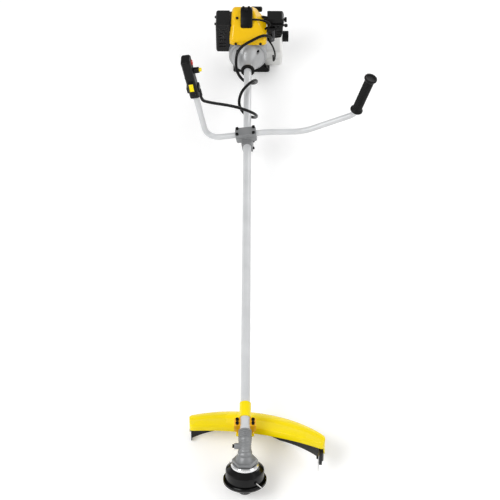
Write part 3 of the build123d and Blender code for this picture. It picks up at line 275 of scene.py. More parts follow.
# %% Drawn lines
lines_group, start, end = new_group("drawn_lines", [("Across", 900.0), ("Along", 6.0)], ["Height"])
coords = lines_group.nodes.new("ShaderNodeTexCoord").outputs["Object"]
split = lines_group.nodes.new("ShaderNodeSeparateXYZ")
lines_group.links.new(coords, split.inputs[0])
scaled = lines_group.nodes.new("ShaderNodeCombineXYZ")
for axis, rate in (("X", "Across"), ("Y", "Along"), ("Z", "Across")):
    faster = math_node(lines_group, "MULTIPLY", split.outputs[axis], start.outputs[rate])
    lines_group.links.new(faster, scaled.inputs[axis])
lines = noise(lines_group, scale=1.0, detail=2.0, coords=scaled.outputs[0])
lines_group.links.new(lines, end.inputs["Height"])
print("group", lines_group.name)

# %% [markdown]
# Each finish mixes its colour between two close tones, takes its roughness from the same slow noise, and
# gets its skin from a bump. Numbers that are the same all over are set on the shader's own sockets.

# %% How a finish is made


def place_group(tree, group, **values):
    """Adds a group to a material with its own values."""
    node = tree.nodes.new("ShaderNodeGroup")
    node.node_tree = group
    for label, value in values.items():
        node.inputs[label].default_value = value
    return node


def blend_colours(tree, mask, low, high):
    """A colour that runs from low to high as the mask goes from 0 to 1; each is a colour or a socket."""
    node = tree.nodes.new("ShaderNodeMix")
    node.data_type = "RGBA"
    tree.links.new(mask, node.inputs["Factor"])
    first_colour = 6
    for socket, value in zip(node.inputs[first_colour:], (low, high)):
        if isinstance(value, tuple):
            socket.default_value = (*value, 1)
        else:
            tree.links.new(value, socket)
    mixed_colour = 2
    return node.outputs[mixed_colour]


def bump(tree, shader, height, depth, strength):
    """Bump of that depth, in metres, on the shader's normal."""
    node = tree.nodes.new("ShaderNodeBump")
    node.inputs["Distance"].default_value = depth
    node.inputs["Strength"].default_value = strength
    tree.links.new(height, node.inputs["Height"])
    tree.links.new(node.outputs["Normal"], shader.inputs["Normal"])


finishes = {}


def add_finish(name, dark, light, rough, metal=0.0, shine=0.5, coat=0.0,
               grain=1500.0, depth=0.00006, strength=0.4, rub_and_highlight=None, drawn=False):
    """A finish of two tones with a fine skin, and lighter edges where an edge colour is given: wear on most
    finishes, a painted highlight on the pressed black.
    """
    material, tree, shader = new_material(name)
    skin = place_group(tree, grain_group, Scale=grain)
    colour = blend_colours(tree, skin.outputs["Tone"], dark, light)
    # Lighter edges: wear on most finishes, and a painted highlight on the pressed black.
    if rub_and_highlight:
        edge = place_group(tree, rub_and_highlight_group)
        colour = blend_colours(tree, edge.outputs["Mask"], colour, rub_and_highlight)
    tree.links.new(colour, shader.inputs["Base Color"])
    spread = tree.nodes.new("ShaderNodeMapRange")
    smoothest, roughest = rough
    spread.inputs["To Min"].default_value = smoothest
    spread.inputs["To Max"].default_value = roughest
    tree.links.new(skin.outputs["Tone"], spread.inputs["Value"])
    tree.links.new(spread.outputs["Result"], shader.inputs["Roughness"])
    shader.inputs["Metallic"].default_value = metal
    shader.inputs["Specular IOR Level"].default_value = shine
    shader.inputs["Coat Weight"].default_value = coat
    shader.inputs["Coat Roughness"].default_value = 0.12
    height = skin.outputs["Height"]
    if drawn:
        height = place_group(tree, lines_group).outputs["Height"]
    bump(tree, shader, height, depth, strength)
    finishes[name] = material


print("finishes are mixed from", len(bpy.data.node_groups), "groups")

# %% [markdown]
# The metals come first: painted tube, cast alloy with its coarse grain, bright turned steel, and black
# steel. Most of this machine's metal is painted or dull, so only the bright and the plain steel are truly
# metallic.

# %% Metals
add_finish(
    "tube_silver", dark=(0.60, 0.61, 0.62), light=(0.67, 0.68, 0.69), rough=(0.30, 0.38),
    metal=0.1, drawn=True, depth=0.00003, strength=0.25)
add_finish(
    "cast_alloy", dark=(0.22, 0.225, 0.23), light=(0.29, 0.295, 0.30), rough=(0.38, 0.50),
    metal=0.3, grain=700.0, depth=0.0002, strength=0.5, rub_and_highlight=(0.50, 0.50, 0.51))
add_finish(
    "dark_alloy", dark=(0.045, 0.045, 0.048), light=(0.07, 0.07, 0.073), rough=(0.38, 0.5),
    metal=0.3, grain=700.0, depth=0.00015, strength=0.4, rub_and_highlight=(0.25, 0.25, 0.25))
add_finish(
    "bell_silver", dark=(0.38, 0.385, 0.39), light=(0.47, 0.475, 0.48), rough=(0.28, 0.40),
    metal=0.25, grain=800.0, depth=0.00015, strength=0.45, rub_and_highlight=(0.72, 0.72, 0.73))
add_finish(
    "bright_steel", dark=(0.80, 0.80, 0.81), light=(0.88, 0.88, 0.88), rough=(0.14, 0.22),
    metal=0.85, drawn=True, depth=0.00002, strength=0.2)
add_finish(
    "steel", dark=(0.45, 0.45, 0.46), light=(0.55, 0.55, 0.56), rough=(0.26, 0.38),
    metal=1.0, drawn=True, depth=0.00003, strength=0.3)
add_finish(
    "black_steel", dark=(0.002, 0.002, 0.0022), light=(0.004, 0.004, 0.0044), rough=(0.22, 0.32),
    shine=0.2, grain=1200.0, rub_and_highlight=(0.04, 0.04, 0.04))
# The pressed black's light edge colour is a painted highlight, for the light that its rounded edges catch.
add_finish(
    "pressed_black", dark=(0.002, 0.002, 0.0022), light=(0.004, 0.004, 0.0044), rough=(0.24, 0.34),
    shine=0.25, grain=1200.0, depth=0.00008, strength=0.3, rub_and_highlight=(0.16, 0.16, 0.16))
print(len(finishes), "metals")

# %% [markdown]
# The plastics differ in gloss. The shroud and the guard have a clear sheen, which is a thin coat. The head
# is glossy black, the skirt is a duller black, and rubber is the dullest, with a strong fine grain.

# %% Plastics, rubber and cord
add_finish(
    "guard_yellow", dark=(0.91, 0.71, 0.0), light=(0.95, 0.75, 0.0), rough=(0.20, 0.28),
    shine=0.2, grain=1300.0, depth=0.00005, strength=0.2, coat=0.2)
add_finish(
    "engine_yellow", dark=(0.89, 0.52, 0.0), light=(0.94, 0.57, 0.0), rough=(0.14, 0.20),
    shine=0.25, grain=1300.0, depth=0.00004, strength=0.15, coat=0.2)
# The bracket's yellow is darkened to amber: painted shade, for the shadow that its ears lie in.
add_finish(
    "bracket_yellow_painted_shade", dark=(0.86, 0.40, 0.0), light=(0.92, 0.46, 0.0), rough=(0.22, 0.32),
    shine=0.25, grain=1300.0, coat=0.15, rub_and_highlight=(0.95, 0.62, 0.08))
add_finish(
    "black_plastic", dark=(0.0015, 0.0015, 0.0017), light=(0.003, 0.003, 0.0033), rough=(0.26, 0.38),
    shine=0.2, grain=1100.0, depth=0.0001, strength=0.35, rub_and_highlight=(0.018, 0.018, 0.018))
add_finish(
    "head_gloss", dark=(0.0015, 0.0015, 0.0017), light=(0.003, 0.003, 0.0033), rough=(0.14, 0.22),
    shine=0.25, grain=1000.0, depth=0.00006, strength=0.25, rub_and_highlight=(0.03, 0.03, 0.03))
add_finish(
    "skirt_black", dark=(0.016, 0.016, 0.018), light=(0.024, 0.024, 0.026), rough=(0.40, 0.52),
    shine=0.3, grain=900.0, depth=0.00012, strength=0.5, rub_and_highlight=(0.06, 0.06, 0.06))
add_finish(
    "rubber_black", dark=(0.002, 0.002, 0.002), light=(0.004, 0.004, 0.004), rough=(0.45, 0.60),
    shine=0.2, grain=1600.0, depth=0.0001, strength=0.6)
add_finish(
    "red_plastic", dark=(0.55, 0.015, 0.01), light=(0.64, 0.025, 0.015), rough=(0.26, 0.36), coat=0.3)
add_finish(
    "tank_white", dark=(0.83, 0.83, 0.81), light=(0.88, 0.88, 0.86), rough=(0.36, 0.46), grain=800.0)
add_finish(
    "line_nylon", dark=(0.72, 0.72, 0.70), light=(0.80, 0.80, 0.78), rough=(0.30, 0.40))
add_finish(
    "rope_cord", dark=(0.02, 0.02, 0.02), light=(0.05, 0.05, 0.05), rough=(0.75, 0.85), shine=0.2)
print(len(finishes), "finishes in all")

# %% [markdown]
# The solid pieces keep their shapes where they are right. Each takes its finish from the record's slot, and
# a few pieces, such as the glossy head, have a finish of their own.

# %% Finishes on the solid pieces
own_finishes = {
    "head_body": "head_gloss", "head_cover": "head_gloss", "bump_knob": "head_gloss",
    "guard_bracket": "bracket_yellow_painted_shade", "muffler_guard": "pressed_black", "carburettor": "dark_alloy"}


def dress(piece, finish):
    """Gives a piece one finish all over."""
    piece.data.materials.clear()
    piece.data.materials.append(finishes[finish])


for entry in frame["record"]["subparts"]:
    dress(nodes[entry["node"]], own_finishes.get(entry["node"], entry["material_slot"]))

# %% [markdown]
# Four soft lines run over the machine: the throttle cable from the handle to the carburettor, the spark
# plug's lead, the fuel hose and the starter rope. The first three are smooth curves through a few control
# points, with a round bevel, which is how a flexible line is drawn by hand.

# %% Throttle cable, plug lead and fuel hose


def soft_line(name, route, diameter, finish):
    """A flexible line on a smooth curve through the route's points, in place of the solid of that name."""
    curve = bpy.data.curves.new(name + "_line", "CURVE")
    curve.dimensions = "3D"
    curve.bevel_depth = diameter / 2
    curve.bevel_resolution = 5
    curve.resolution_u = 12
    curve.use_fill_caps = True
    spline = curve.splines.new("NURBS")
    spline.points.add(len(route) - 1)
    places = [tuple(value / 1000 for value in place) for place in route]
    for point, place in zip(spline.points, places):
        point.co = (*place, 1)
    spline.order_u = 3
    spline.use_endpoint_u = True
    curve.materials.append(finishes[finish])
    line = bpy.data.objects.new(name + "_line", curve)
    bpy.context.scene.collection.objects.link(line)
    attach(line, "frame")
    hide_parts(name)
    print(name, "through", len(route), "points")


cable_points = [
    (-147.43, -550, 322.56), (-144, -549, 300), (-128, -539, 284), (-100, -523, 262), (-62, -508, 241),
    (-18, -496, 216), (20, -484, 184), (33, -462, 150), (25, -430, 110), (-8, -408, 102), (-31, -392, 132),
    (-24, -370, 168), (0, -338, 177), (26, -304, 170), (33, -282, 140), (22, -254, 106), (-12, -238, 100),
    (-37, -226, 130), (-42, -210, 162), (-38, -190, 190), (-20, -174, 208), (16, -163, 224), (50, -148, 233),
    (74, -136, 222), (82, -128, 202), (82, -116, 190), (82, -92, 190)]
lead_points = [
    (14, -100, 263), (30, -100, 264), (50, -104, 263), (70, -105, 256), (79, -102, 243),
    (70.52, -100, 230.32), (59.84, -100, 221.26)]
hose_points = [
    (72, -82, 177), (72, -104, 177), (86, -117, 165), (97, -120, 132), (97, -112, 100), (93, -94, 72),
    (92, -74, 60), (92, -50, 60)]
soft_line("control_cable", cable_points, diameter=0.010,
          finish="black_plastic")
soft_line("plug_lead", lead_points, diameter=0.007,
          finish="rubber_black")
soft_line("fuel_hose", hose_points, diameter=0.006,
          finish="rubber_black")

# %% [markdown]
# The starter rope runs straight up from its pulley, through the guide, into the pull handle. When the
# handle is pulled, its top end goes with the handle and its foot stays on the pulley, so it has to stretch.
# A curve can't do that, so this line is a mesh: a disc is extruded upwards in many short rings.

# %% Starter rope
smooth_angle = math.radians(40)
rope_x = 0.030
rope_y = 0.004
rope_foot = 0.134
rope_top = 0.210
rope_rings = 20
rope_r = 0.002


def face_outwards():
    """Turns every face of the mesh in edit mode outwards."""
    bpy.ops.mesh.select_all(action="SELECT")
    bpy.ops.mesh.normals_make_consistent(inside=False)


def settle():
    """Puts the place, turn and size of the selected piece into its mesh."""
    bpy.ops.object.transform_apply(location=True, rotation=True, scale=True)


bpy.ops.object.select_all(action="DESELECT")
rope_start = (rope_x, rope_y, rope_foot)
bpy.ops.mesh.primitive_circle_add(vertices=16, radius=rope_r, fill_type="NGON", location=rope_start)
rope = bpy.context.object
rope.name = "starter_rope_braid"
bpy.ops.object.mode_set(mode="EDIT")
bpy.ops.mesh.select_all(action="SELECT")
ring_step = (rope_top - rope_foot) / rope_rings
for index in range(rope_rings):
    bpy.ops.mesh.extrude_region_move(TRANSFORM_OT_translate={"value": (0, 0, ring_step)})
face_outwards()
bpy.ops.object.mode_set(mode="OBJECT")
settle()
bpy.ops.object.shade_smooth_by_angle(angle=smooth_angle)
dress(rope, "rope_cord")
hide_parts("starter_rope")
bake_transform(rope)
print("starter rope of", rope_rings, "rings")

# %% [markdown]
# Many pieces of this machine are round. A round piece starts as a flat disc that is extruded upwards again
# and again, and each new ring is made wider or narrower. A small bevel softens its edges at the end. Two
# more helpers are needed from here on: one for the bevel, and one that ties a new piece to its moving body.

# %% How a round piece is made
bevel_angle = math.radians(35)
turned_points = 56
turned_bevel = 0.0004


def metres(place):
    """A place or a size in mm, as a vector in metres."""
    return Vector(place) / 1000


def soften(piece, width):
    """Rounds the sharp edges of a piece with an applied bevel, its width in metres, and shades it smooth."""
    piece.select_set(True)
    bpy.context.view_layer.objects.active = piece
    rounding = piece.modifiers.new("soft_edges", "BEVEL")
    rounding.width = width
    rounding.segments = 2
    rounding.limit_method = "ANGLE"
    rounding.angle_limit = bevel_angle
    bpy.ops.object.modifier_apply(modifier=rounding.name)
    bpy.ops.object.shade_smooth_by_angle(angle=smooth_angle)


def turned_piece(name, steps, base, way):
    """A disc is extruded through (radius, height) steps, in mm, and stood on its base along a way."""
    bpy.ops.object.select_all(action="DESELECT")
    first_radius = steps[0][0] / 1000
    bpy.ops.mesh.primitive_circle_add(vertices=turned_points, radius=first_radius, fill_type="NGON")
    piece = bpy.context.object
    piece.name = name
    bpy.ops.object.mode_set(mode="EDIT")
    bpy.ops.mesh.select_all(action="SELECT")
    for (radius, height), (next_radius, next_height) in zip(steps, steps[1:]):
        rise = (next_height - height) / 1000
        growth = next_radius / radius
        bpy.ops.mesh.extrude_region_move(TRANSFORM_OT_translate={"value": (0, 0, rise)})
        bpy.ops.transform.resize(value=(growth, growth, 1))
    face_outwards()
    bpy.ops.object.mode_set(mode="OBJECT")
    piece.location = metres(base)
    piece.rotation_euler = Vector(way).to_track_quat("Z", "Y").to_euler()
    settle()
    soften(piece, turned_bevel)
    return piece


def stand_for(piece, body, slot, *cad_nodes):
    """Ties a piece to its body and hides the solids that it replaces; the slot is not used."""
    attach(piece, body)
    if cad_nodes:
        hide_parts(*cad_nodes)
    print(piece.name, "with", len(piece.data.polygons), "faces")


print("round pieces of", turned_points, "points")

# %% [markdown]
# The right hand holds a soft rubber grip with a rim at each end, so that the hand can't slide off, and with
# rings round its body. It is pushed on the end of the bar. A mould gives its rings; here they are steps of
# a round piece.

# %% Ribbed hand grip
bar_corner = Vector((343, -559, 252))
bar_top = Vector((381, -559, 402))
grip_way = (bar_top - bar_corner).normalized()
grip_length = 142
grip_past_bar = 4
grip_base = bar_top - grip_way * (grip_length - grip_past_bar)
rib_count = 20
rib_pitch = 5.6
rib_start = 14
grip_steps = [(18.5, 0), (20, 0.8), (20.4, 2), (20.4, 5.5), (19.4, 7), (15.4, 11)]
for index in range(rib_count):
    rib_foot = rib_start + index * rib_pitch
    grip_steps += [(14.0, rib_foot), (15.4, rib_foot + 1.1), (15.4, rib_foot + 3.4), (14.0, rib_foot + 4.5)]
grip_steps += [
    (15.2, 129), (19.4, 134.5), (20.4, 136), (20.4, 140), (19.4, 141.9), (14.5, 141.9), (13, 139.5)]
grip = turned_piece("hand_grip_ribbed", grip_steps, grip_base, grip_way)
dress(grip, "rubber_black")
stand_for(grip, "frame", "rubber_black", "hand_grip")

# %% [markdown]
# The gearbox turns the drive by sixty degrees. On the real machine it is one casting: a ringed neck that
# clamps the tube, a bend, and a six-sided foot over the head. A bend is what Spin is for: a circle is
# pulled along the neck, spun about a point under the neck, and pulled on along the head's axis. Every other
# ring of the bend is then drawn in, which carries the neck's rings round it. The skin is closed and
# softened before anything is added to it.

# %% Measures of the gearbox
corner = Vector((0, -1681, 134))
head_tilt = math.radians(30)
head_down = Vector((0, -math.sin(head_tilt), -math.cos(head_tilt)))
ring_points = 48
ring_depth = 0.88
bend_start = 15
bend_steps = 12
bend_angle = math.radians(60)
bend_radius = bend_start / math.tan(bend_angle / 2)
bend_centre = metres(corner + Vector((0, bend_start, -bend_radius)))
neck_steps = [
    (16.5, 45), (17.8, 44), (17.8, 40), (15.0, 39), (15.0, 37.5), (17.6, 36.5), (17.6, 34), (15.2, 33),
    (15.2, 31.5), (17.6, 30.5), (17.6, 28), (15.2, 27), (15.2, 25.5), (17.6, 24.5), (17.6, 22), (15.4, 21),
    (15.4, 19.5), (17.6, 18.5), (17.4, bend_start)]
barrel_steps = [
    (17.4, bend_start), (19.0, 17), (19.0, 21), (18.0, 22), (18.0, 26), (19.5, 28), (24.0, 36), (26.0, 42)]
neck_radius, neck_end = neck_steps[0]
print("bend of", round(bend_radius, 1), "mm")

# %% [markdown]
# A ring of edges is pulled through a list of steps, each with its radius and its place. The rings of the
# bend are found again by the numbers of their points, which go up ring by ring.

# %% Gearbox casting


def pull_ring(steps, way):
    """Pulls the selected ring of edges along a way through (radius, place) steps, in mm."""
    for (radius, place), (next_radius, next_place) in zip(steps, steps[1:]):
        travel = tuple(value / 1000 for value in way * (next_place - place))
        growth = next_radius / radius
        bpy.ops.mesh.extrude_region_move(TRANSFORM_OT_translate={"value": travel})
        bpy.ops.transform.resize(value=(growth, growth, growth))


def select_points(piece, chosen):
    """Selects the points of the mesh in edit mode that have the chosen numbers."""
    bpy.ops.mesh.select_all(action="DESELECT")
    points = bmesh.from_edit_mesh(piece.data)
    points.verts.index_update()
    for point in points.verts:
        if point.index in chosen:
            point.select_set(True)
    points.select_flush(True)
    bmesh.update_edit_mesh(piece.data)


bpy.ops.object.select_all(action="DESELECT")
bpy.ops.mesh.primitive_circle_add(vertices=ring_points, radius=neck_radius / 1000)
casting = bpy.context.object
casting.name = "gearbox_casting"
casting.location = metres(corner + Vector((0, neck_end, 0)))
casting.rotation_euler = (math.radians(90), 0, 0)
settle()
bpy.ops.object.mode_set(mode="EDIT")
bpy.ops.mesh.select_all(action="SELECT")
pull_ring(neck_steps, Vector((0, 1, 0)))
bpy.ops.mesh.spin(steps=bend_steps, angle=bend_angle, center=bend_centre, axis=(-1, 0, 0))
pull_ring(barrel_steps, head_down)
bpy.ops.mesh.edge_face_add()
for step in range(1, bend_steps, 2):
    first = (len(neck_steps) - 1 + step) * ring_points
    select_points(casting, range(first, first + ring_points))
    bpy.ops.transform.resize(value=(ring_depth, ring_depth, ring_depth))
bpy.ops.mesh.select_all(action="DESELECT")
bpy.ops.mesh.select_non_manifold()
bpy.ops.mesh.edge_face_add()
face_outwards()
bpy.ops.object.mode_set(mode="OBJECT")
soften(casting, width=0.0003)
print("casting skin with", len(casting.data.polygons), "faces")

# %% [markdown]
# Some pieces are easiest to make as a sum or a difference of two closed shapes, which is what the Boolean
# modifier does. A union leaves some points almost on top of each other, so they are merged each time. Most
# of the shapes that are added or cut out are small blocks with rounded edges.

# %% How pieces are combined
weld_gap = 0.00005


def weld(piece):
    """Merges points of a piece that are almost on top of each other, and splits faces that fold inwards."""
    bpy.ops.object.select_all(action="DESELECT")
    piece.select_set(True)
    bpy.context.view_layer.objects.active = piece
    bpy.ops.object.mode_set(mode="EDIT")
    bpy.ops.mesh.select_all(action="SELECT")
    bpy.ops.mesh.remove_doubles(threshold=weld_gap)
    bpy.ops.mesh.vert_connect_concave()
    bpy.ops.object.mode_set(mode="OBJECT")


def combine(piece, other, operation):
    """Adds a second closed mesh to a piece (UNION) or cuts it out (DIFFERENCE), and removes it."""
    bpy.context.view_layer.objects.active = piece
    boolean = piece.modifiers.new("boolean", "BOOLEAN")
    boolean.operation = operation
    boolean.object = other
    bpy.ops.object.modifier_apply(modifier=boolean.name)
    bpy.data.objects.remove(other)


def united(piece, extra):
    """Adds a second closed mesh to a piece and merges what meets."""
    combine(piece, extra, "UNION")
    weld(piece)


def block(centre, size, width):
    """A small block with rounded edges, from a cube; centre and size are in mm."""
    bpy.ops.object.select_all(action="DESELECT")
    bpy.ops.mesh.primitive_cube_add(size=1)
    piece = bpy.context.object
    piece.location = metres(centre)
    piece.scale = metres(size)
    settle()
    soften(piece, width)
    return piece


print("points closer than", weld_gap, "m are merged")

# %% [markdown]
# The six-sided foot, the boss of the grease plug and the two clamp lugs were cast in one with the neck.
# Each is made with rounded edges of its own and united with the casting, so that it stays one closed skin.

# %% Foot, boss and lugs of the casting
foot_radius = 0.035
foot_height = 0.007
foot_drop = 43.5
boss_steps = [(8.0, 0), (8.0, 22), (7.2, 23)]
boss_start = corner + Vector((-5, 0, 0))
bpy.ops.object.select_all(action="DESELECT")
bpy.ops.mesh.primitive_cylinder_add(vertices=6, radius=foot_radius, depth=foot_height)
foot = bpy.context.object
foot.rotation_euler = (0, 0, math.radians(30))
settle()
foot.location = metres(corner + head_down * foot_drop)
foot.rotation_euler = (-head_tilt, 0, 0)
settle()
soften(foot, width=0.0015)
united(casting, foot)
united(casting, turned_piece("plug_boss", boss_steps, boss_start, (-1, 0, 0)))
for side in (-1, 1):
    united(casting, block(corner + Vector((side * 5, 36, -17)), size=(8, 16, 16), width=0.0008))
bpy.ops.object.shade_smooth_by_angle(angle=smooth_angle)
dress(casting, "cast_alloy")
stand_for(casting, "frame", "cast_alloy", "gearbox_case")

# %% [markdown]
# The guard is a yellow canopy with a deep front lip and a raised crest along its back, and a black skirt
# below it. Both are bent sheets that are wide in the middle and narrow at the ends, which Spin can't give.
# So each starts as a flat grid, and each row of the grid is laid along its own arc, one row for each fold.
# Solidify then gives the sheet its wall. The guard lies square to the head's axis, so it is drawn flat and
# tilted into place at the end.

# %% Rails for the guard
rail_steps = 44
grid_end = 0.499
guard_left = Vector((-154, 154))
guard_middle = Vector((30, 174))
guard_right = Vector((214, 45))
lip_left = Vector((-150, 104))
lip_middle = Vector((20, 92))
lip_right = Vector((205, 12))


def circle_through(first, middle, last):
    """The centre of the circle through three places of a plan."""
    (ax, ay), (bx, by), (cx, cy) = first, middle, last
    double_area = 2 * (ax * (by - cy) + bx * (cy - ay) + cx * (ay - by))
    a_square, b_square, c_square = (x * x + y * y for x, y in (first, middle, last))
    centre_x = (a_square * (by - cy) + b_square * (cy - ay) + c_square * (ay - by)) / double_area
    centre_y = (a_square * (cx - bx) + b_square * (ax - cx) + c_square * (bx - ax)) / double_area
    return Vector((centre_x, centre_y))


def on_rail(rail, share):
    """The place, in metres, at a share of the way along a rail's arc (left, middle, right, level, inset)."""
    left, middle, right, level, inset = rail
    centre = circle_through(left, middle, right)
    spoke = left - centre
    trim = inset / spoke.length
    sweep = spoke.angle(right - centre) - 2 * trim
    spoke = Matrix.Rotation(-trim - sweep * share, 2) @ spoke
    place = centre + spoke * (1 - trim)
    return metres((place.x, place.y, level))


def railed_sheet(name, rows, place):
    """A grid laid out by place(row, share along); also gives the numbers of the points at its two ends."""
    bpy.ops.object.select_all(action="DESELECT")
    bpy.ops.mesh.primitive_grid_add(x_subdivisions=rail_steps, y_subdivisions=rows, size=1)
    sheet = bpy.context.object
    sheet.name = name
    ends = ([], [])
    for point in sheet.data.vertices:
        along = point.co.x + 0.5
        share = 0.5 - 0.5 * math.cos(math.pi * along)
        row = round((point.co.y + 0.5) * rows)
        if abs(point.co.x) > grid_end:
            ends[round(share)].append(point.index)
        point.co = place(row, share)
    return sheet, ends


print("rails of", rail_steps, "steps")

# %% [markdown]
# A sheet gets its wall on the inside, so that the outside stays where it was drawn. Then it is tilted on to
# the axis of the head. Blocks that belong to a sheet are joined to it as one piece.

# %% Wall, tilt and joining


def square_to_head(piece):
    """Tilts a piece that was drawn flat on to the head's axis."""
    piece.location = metres(corner)
    piece.rotation_euler = (-head_tilt, 0, 0)
    settle()


def walled(sheet, wall):
    """Gives a sheet its wall inwards and stands it square to the head's axis."""
    thick = sheet.modifiers.new("wall", "SOLIDIFY")
    thick.thickness = wall
    thick.offset = -1
    bpy.ops.object.modifier_apply(modifier=thick.name)
    square_to_head(sheet)


def join_to(piece, *others):
    """Makes one object of a piece and others."""
    bpy.ops.object.select_all(action="DESELECT")
    for part in (piece, *others):
        part.select_set(True)
    bpy.context.view_layer.objects.active = piece
    bpy.ops.object.join()


print("head leans by", round(math.degrees(head_tilt)), "degrees")

# %% [markdown]
# The canopy's rows go from the foot of the lip, over the fold and the crest, to the foot of the back wall.
# Its two ends are filled with one face each. A tongue carries the canopy under the bracket.

# %% Guard canopy
canopy_folds = [
    (0, -18), (0, -4), (0.015, -1.2), (0.045, 0), (0.4, 0.4), (0.5, 1), (0.545, 4.2), (0.6, 5.2),
    (0.86, 4.6), (0.93, 2.2), (0.975, -2.5), (1, -9), (1, -44)]
canopy_length = 410
canopy_wall = 0.0026
end_round = 11


def canopy_place(row, share):
    """A place on the canopy. Close to the ends, the folds are drawn together, which rounds the corners."""
    across, level = canopy_folds[row]
    to_end = canopy_length * min(share, 1 - share)
    width = (lip_left - guard_left).lerp(lip_right - guard_right, share).length
    if to_end < end_round:
        drawn_in = end_round - math.sqrt(end_round ** 2 - (end_round - to_end) ** 2)
        across = 0.5 + (across - 0.5) * (1 - 2 * drawn_in / width)
    left, middle, right = (lip.lerp(back, across) for lip, back in (
        (lip_left, guard_left), (lip_middle, guard_middle), (lip_right, guard_right)))
    return on_rail((left, middle, right, level, 0), share)


canopy, canopy_ends = railed_sheet("guard_canopy_sheet", len(canopy_folds) - 1, canopy_place)
bpy.ops.object.mode_set(mode="EDIT")
for end_points in canopy_ends:
    select_points(canopy, end_points)
    bpy.ops.mesh.edge_face_add()
bpy.ops.object.mode_set(mode="OBJECT")
walled(canopy, canopy_wall)
soften(canopy, width=0.0009)
tongue = block((0, 78, -1.5), size=(48, 52, 3), width=0.0005)
square_to_head(tongue)
join_to(canopy, tongue)
dress(canopy, "guard_yellow")
stand_for(canopy, "frame", "guard_yellow", "guard_canopy")

# %% [markdown]
# The skirt hangs inside the canopy's back wall. Its ends are extruded forwards into flaps with a rounded
# corner, and what would be under the floor is cut off flat, because the machine stands on it. A block
# carries the line cutter.

# %% Guard skirt
skirt_levels = (-30, -71)
skirt_inset = 3.2
skirt_wall = 0.003
left_flap = 20
right_flap = 15
flap_round = 0.013
skirt_rails = [(guard_left, guard_middle, guard_right, level, skirt_inset) for level in skirt_levels]
skirt, skirt_ends = railed_sheet("guard_skirt_sheet", 1, lambda row, share: on_rail(skirt_rails[row], share))
flaps = (
    (lip_left - guard_left).normalized() * left_flap,
    (lip_right - guard_right).normalized() * right_flap)
bpy.ops.object.mode_set(mode="EDIT")
for end_points, flap in zip(skirt_ends, flaps):
    travel = (flap.x / 1000, flap.y / 1000, 0)
    select_points(skirt, end_points)
    bpy.ops.mesh.extrude_edges_move(TRANSFORM_OT_translate={"value": travel})
    skin = bmesh.from_edit_mesh(skirt.data)
    skin.verts.index_update()
    flap_points = [point for point in skin.verts if point.select]
    lowest = min(flap_points, key=lambda point: point.co.z)
    select_points(skirt, (lowest.index,))
    bpy.ops.mesh.bevel(offset=flap_round, segments=6, affect="VERTICES")
bpy.ops.object.mode_set(mode="OBJECT")
walled(skirt, skirt_wall)
bpy.ops.object.mode_set(mode="EDIT")
bpy.ops.mesh.select_all(action="SELECT")
bpy.ops.mesh.bisect(plane_co=(0, 0, 0), plane_no=(0, 0, 1), use_fill=True, clear_inner=True)
bpy.ops.object.mode_set(mode="OBJECT")
soften(skirt, width=0.0006)
cutter_seat = block((200, 39, -53.5), size=(8, 34, 35), width=0.001)
square_to_head(cutter_seat)
join_to(skirt, cutter_seat)
dress(skirt, "skirt_black")
stand_for(skirt, "frame", "skirt_black", "guard_skirt")

# %% [markdown]
# The white fuel tank is blow moulded: two halves of a mould pinch a hot tube of plastic, and its sides have
# shallow panels that keep them stiff. A cube gets the size of the tank and a wide bevel, and the panels
# come from two insets on each large face: a flat one for the border, and a sunk one for the slope.

# %% Fuel tank
tank_low = Vector((-64, -50, 8))
tank_high = Vector((126, 82, 80))
tank_round = 0.012
panel_edge = 0.018
panel_slope = 0.003
panel_depth = -0.0022
same_way = 0.999
panel_sides = (Vector((0, 1, 0)), Vector((0, -1, 0)), Vector((-1, 0, 0)))
tank_size = tank_high - tank_low
tank_centre = (tank_low + tank_high) / 2


def select_faces(piece, *ways):
    """Selects the faces of the mesh in edit mode that look one of the given ways."""
    bpy.ops.mesh.select_all(action="DESELECT")
    skin = bmesh.from_edit_mesh(piece.data)
    for face in skin.faces:
        if any(face.normal.dot(way) > same_way for way in ways):
            face.select_set(True)
    bmesh.update_edit_mesh(piece.data)


bpy.ops.object.select_all(action="DESELECT")
bpy.ops.mesh.primitive_cube_add(size=1, location=metres(tank_centre))
tank = bpy.context.object
tank.name = "fuel_tank_moulded"
tank.scale = metres(tank_size)
settle()
bpy.ops.object.mode_set(mode="EDIT")
bpy.ops.mesh.select_all(action="SELECT")
bpy.ops.mesh.bevel(offset=tank_round, segments=5)
for side in panel_sides:
    select_faces(tank, side)
    bpy.ops.mesh.inset(thickness=panel_edge, depth=0)
    bpy.ops.mesh.inset(thickness=panel_slope, depth=panel_depth)
bpy.ops.object.mode_set(mode="OBJECT")
print("tank with panels has", len(tank.data.polygons), "faces")

# %% [markdown]
# Where the two halves of the mould met, a thin seam runs all round the tank. It is a slab, a little larger
# than the tank, whose upright edges get a bevel that runs parallel to the tank's corners. It is united with
# the tank.

# %% Seam of the tank
seam_level = 47
seam_proud = 0.0015
seam_height = 0.0024
seam_place = (tank_centre.x / 1000, tank_centre.y / 1000, seam_level / 1000)
bpy.ops.object.select_all(action="DESELECT")
bpy.ops.mesh.primitive_cube_add(size=1, location=seam_place)
seam = bpy.context.object
seam.scale = (tank_size.x / 1000 + 2 * seam_proud, tank_size.y / 1000 + 2 * seam_proud, seam_height)
settle()
bpy.ops.object.mode_set(mode="EDIT")
bpy.ops.mesh.select_mode(type="EDGE")
bpy.ops.mesh.select_all(action="DESELECT")
slab = bmesh.from_edit_mesh(seam.data)
for edge in slab.edges:
    rise = edge.verts[0].co.z - edge.verts[1].co.z
    if abs(rise) > seam_height / 2:
        edge.select_set(True)
bmesh.update_edit_mesh(seam.data)
bpy.ops.mesh.bevel(offset=tank_round + seam_proud, segments=5)
bpy.ops.mesh.select_mode(type="VERT")
bpy.ops.object.mode_set(mode="OBJECT")
united(tank, seam)
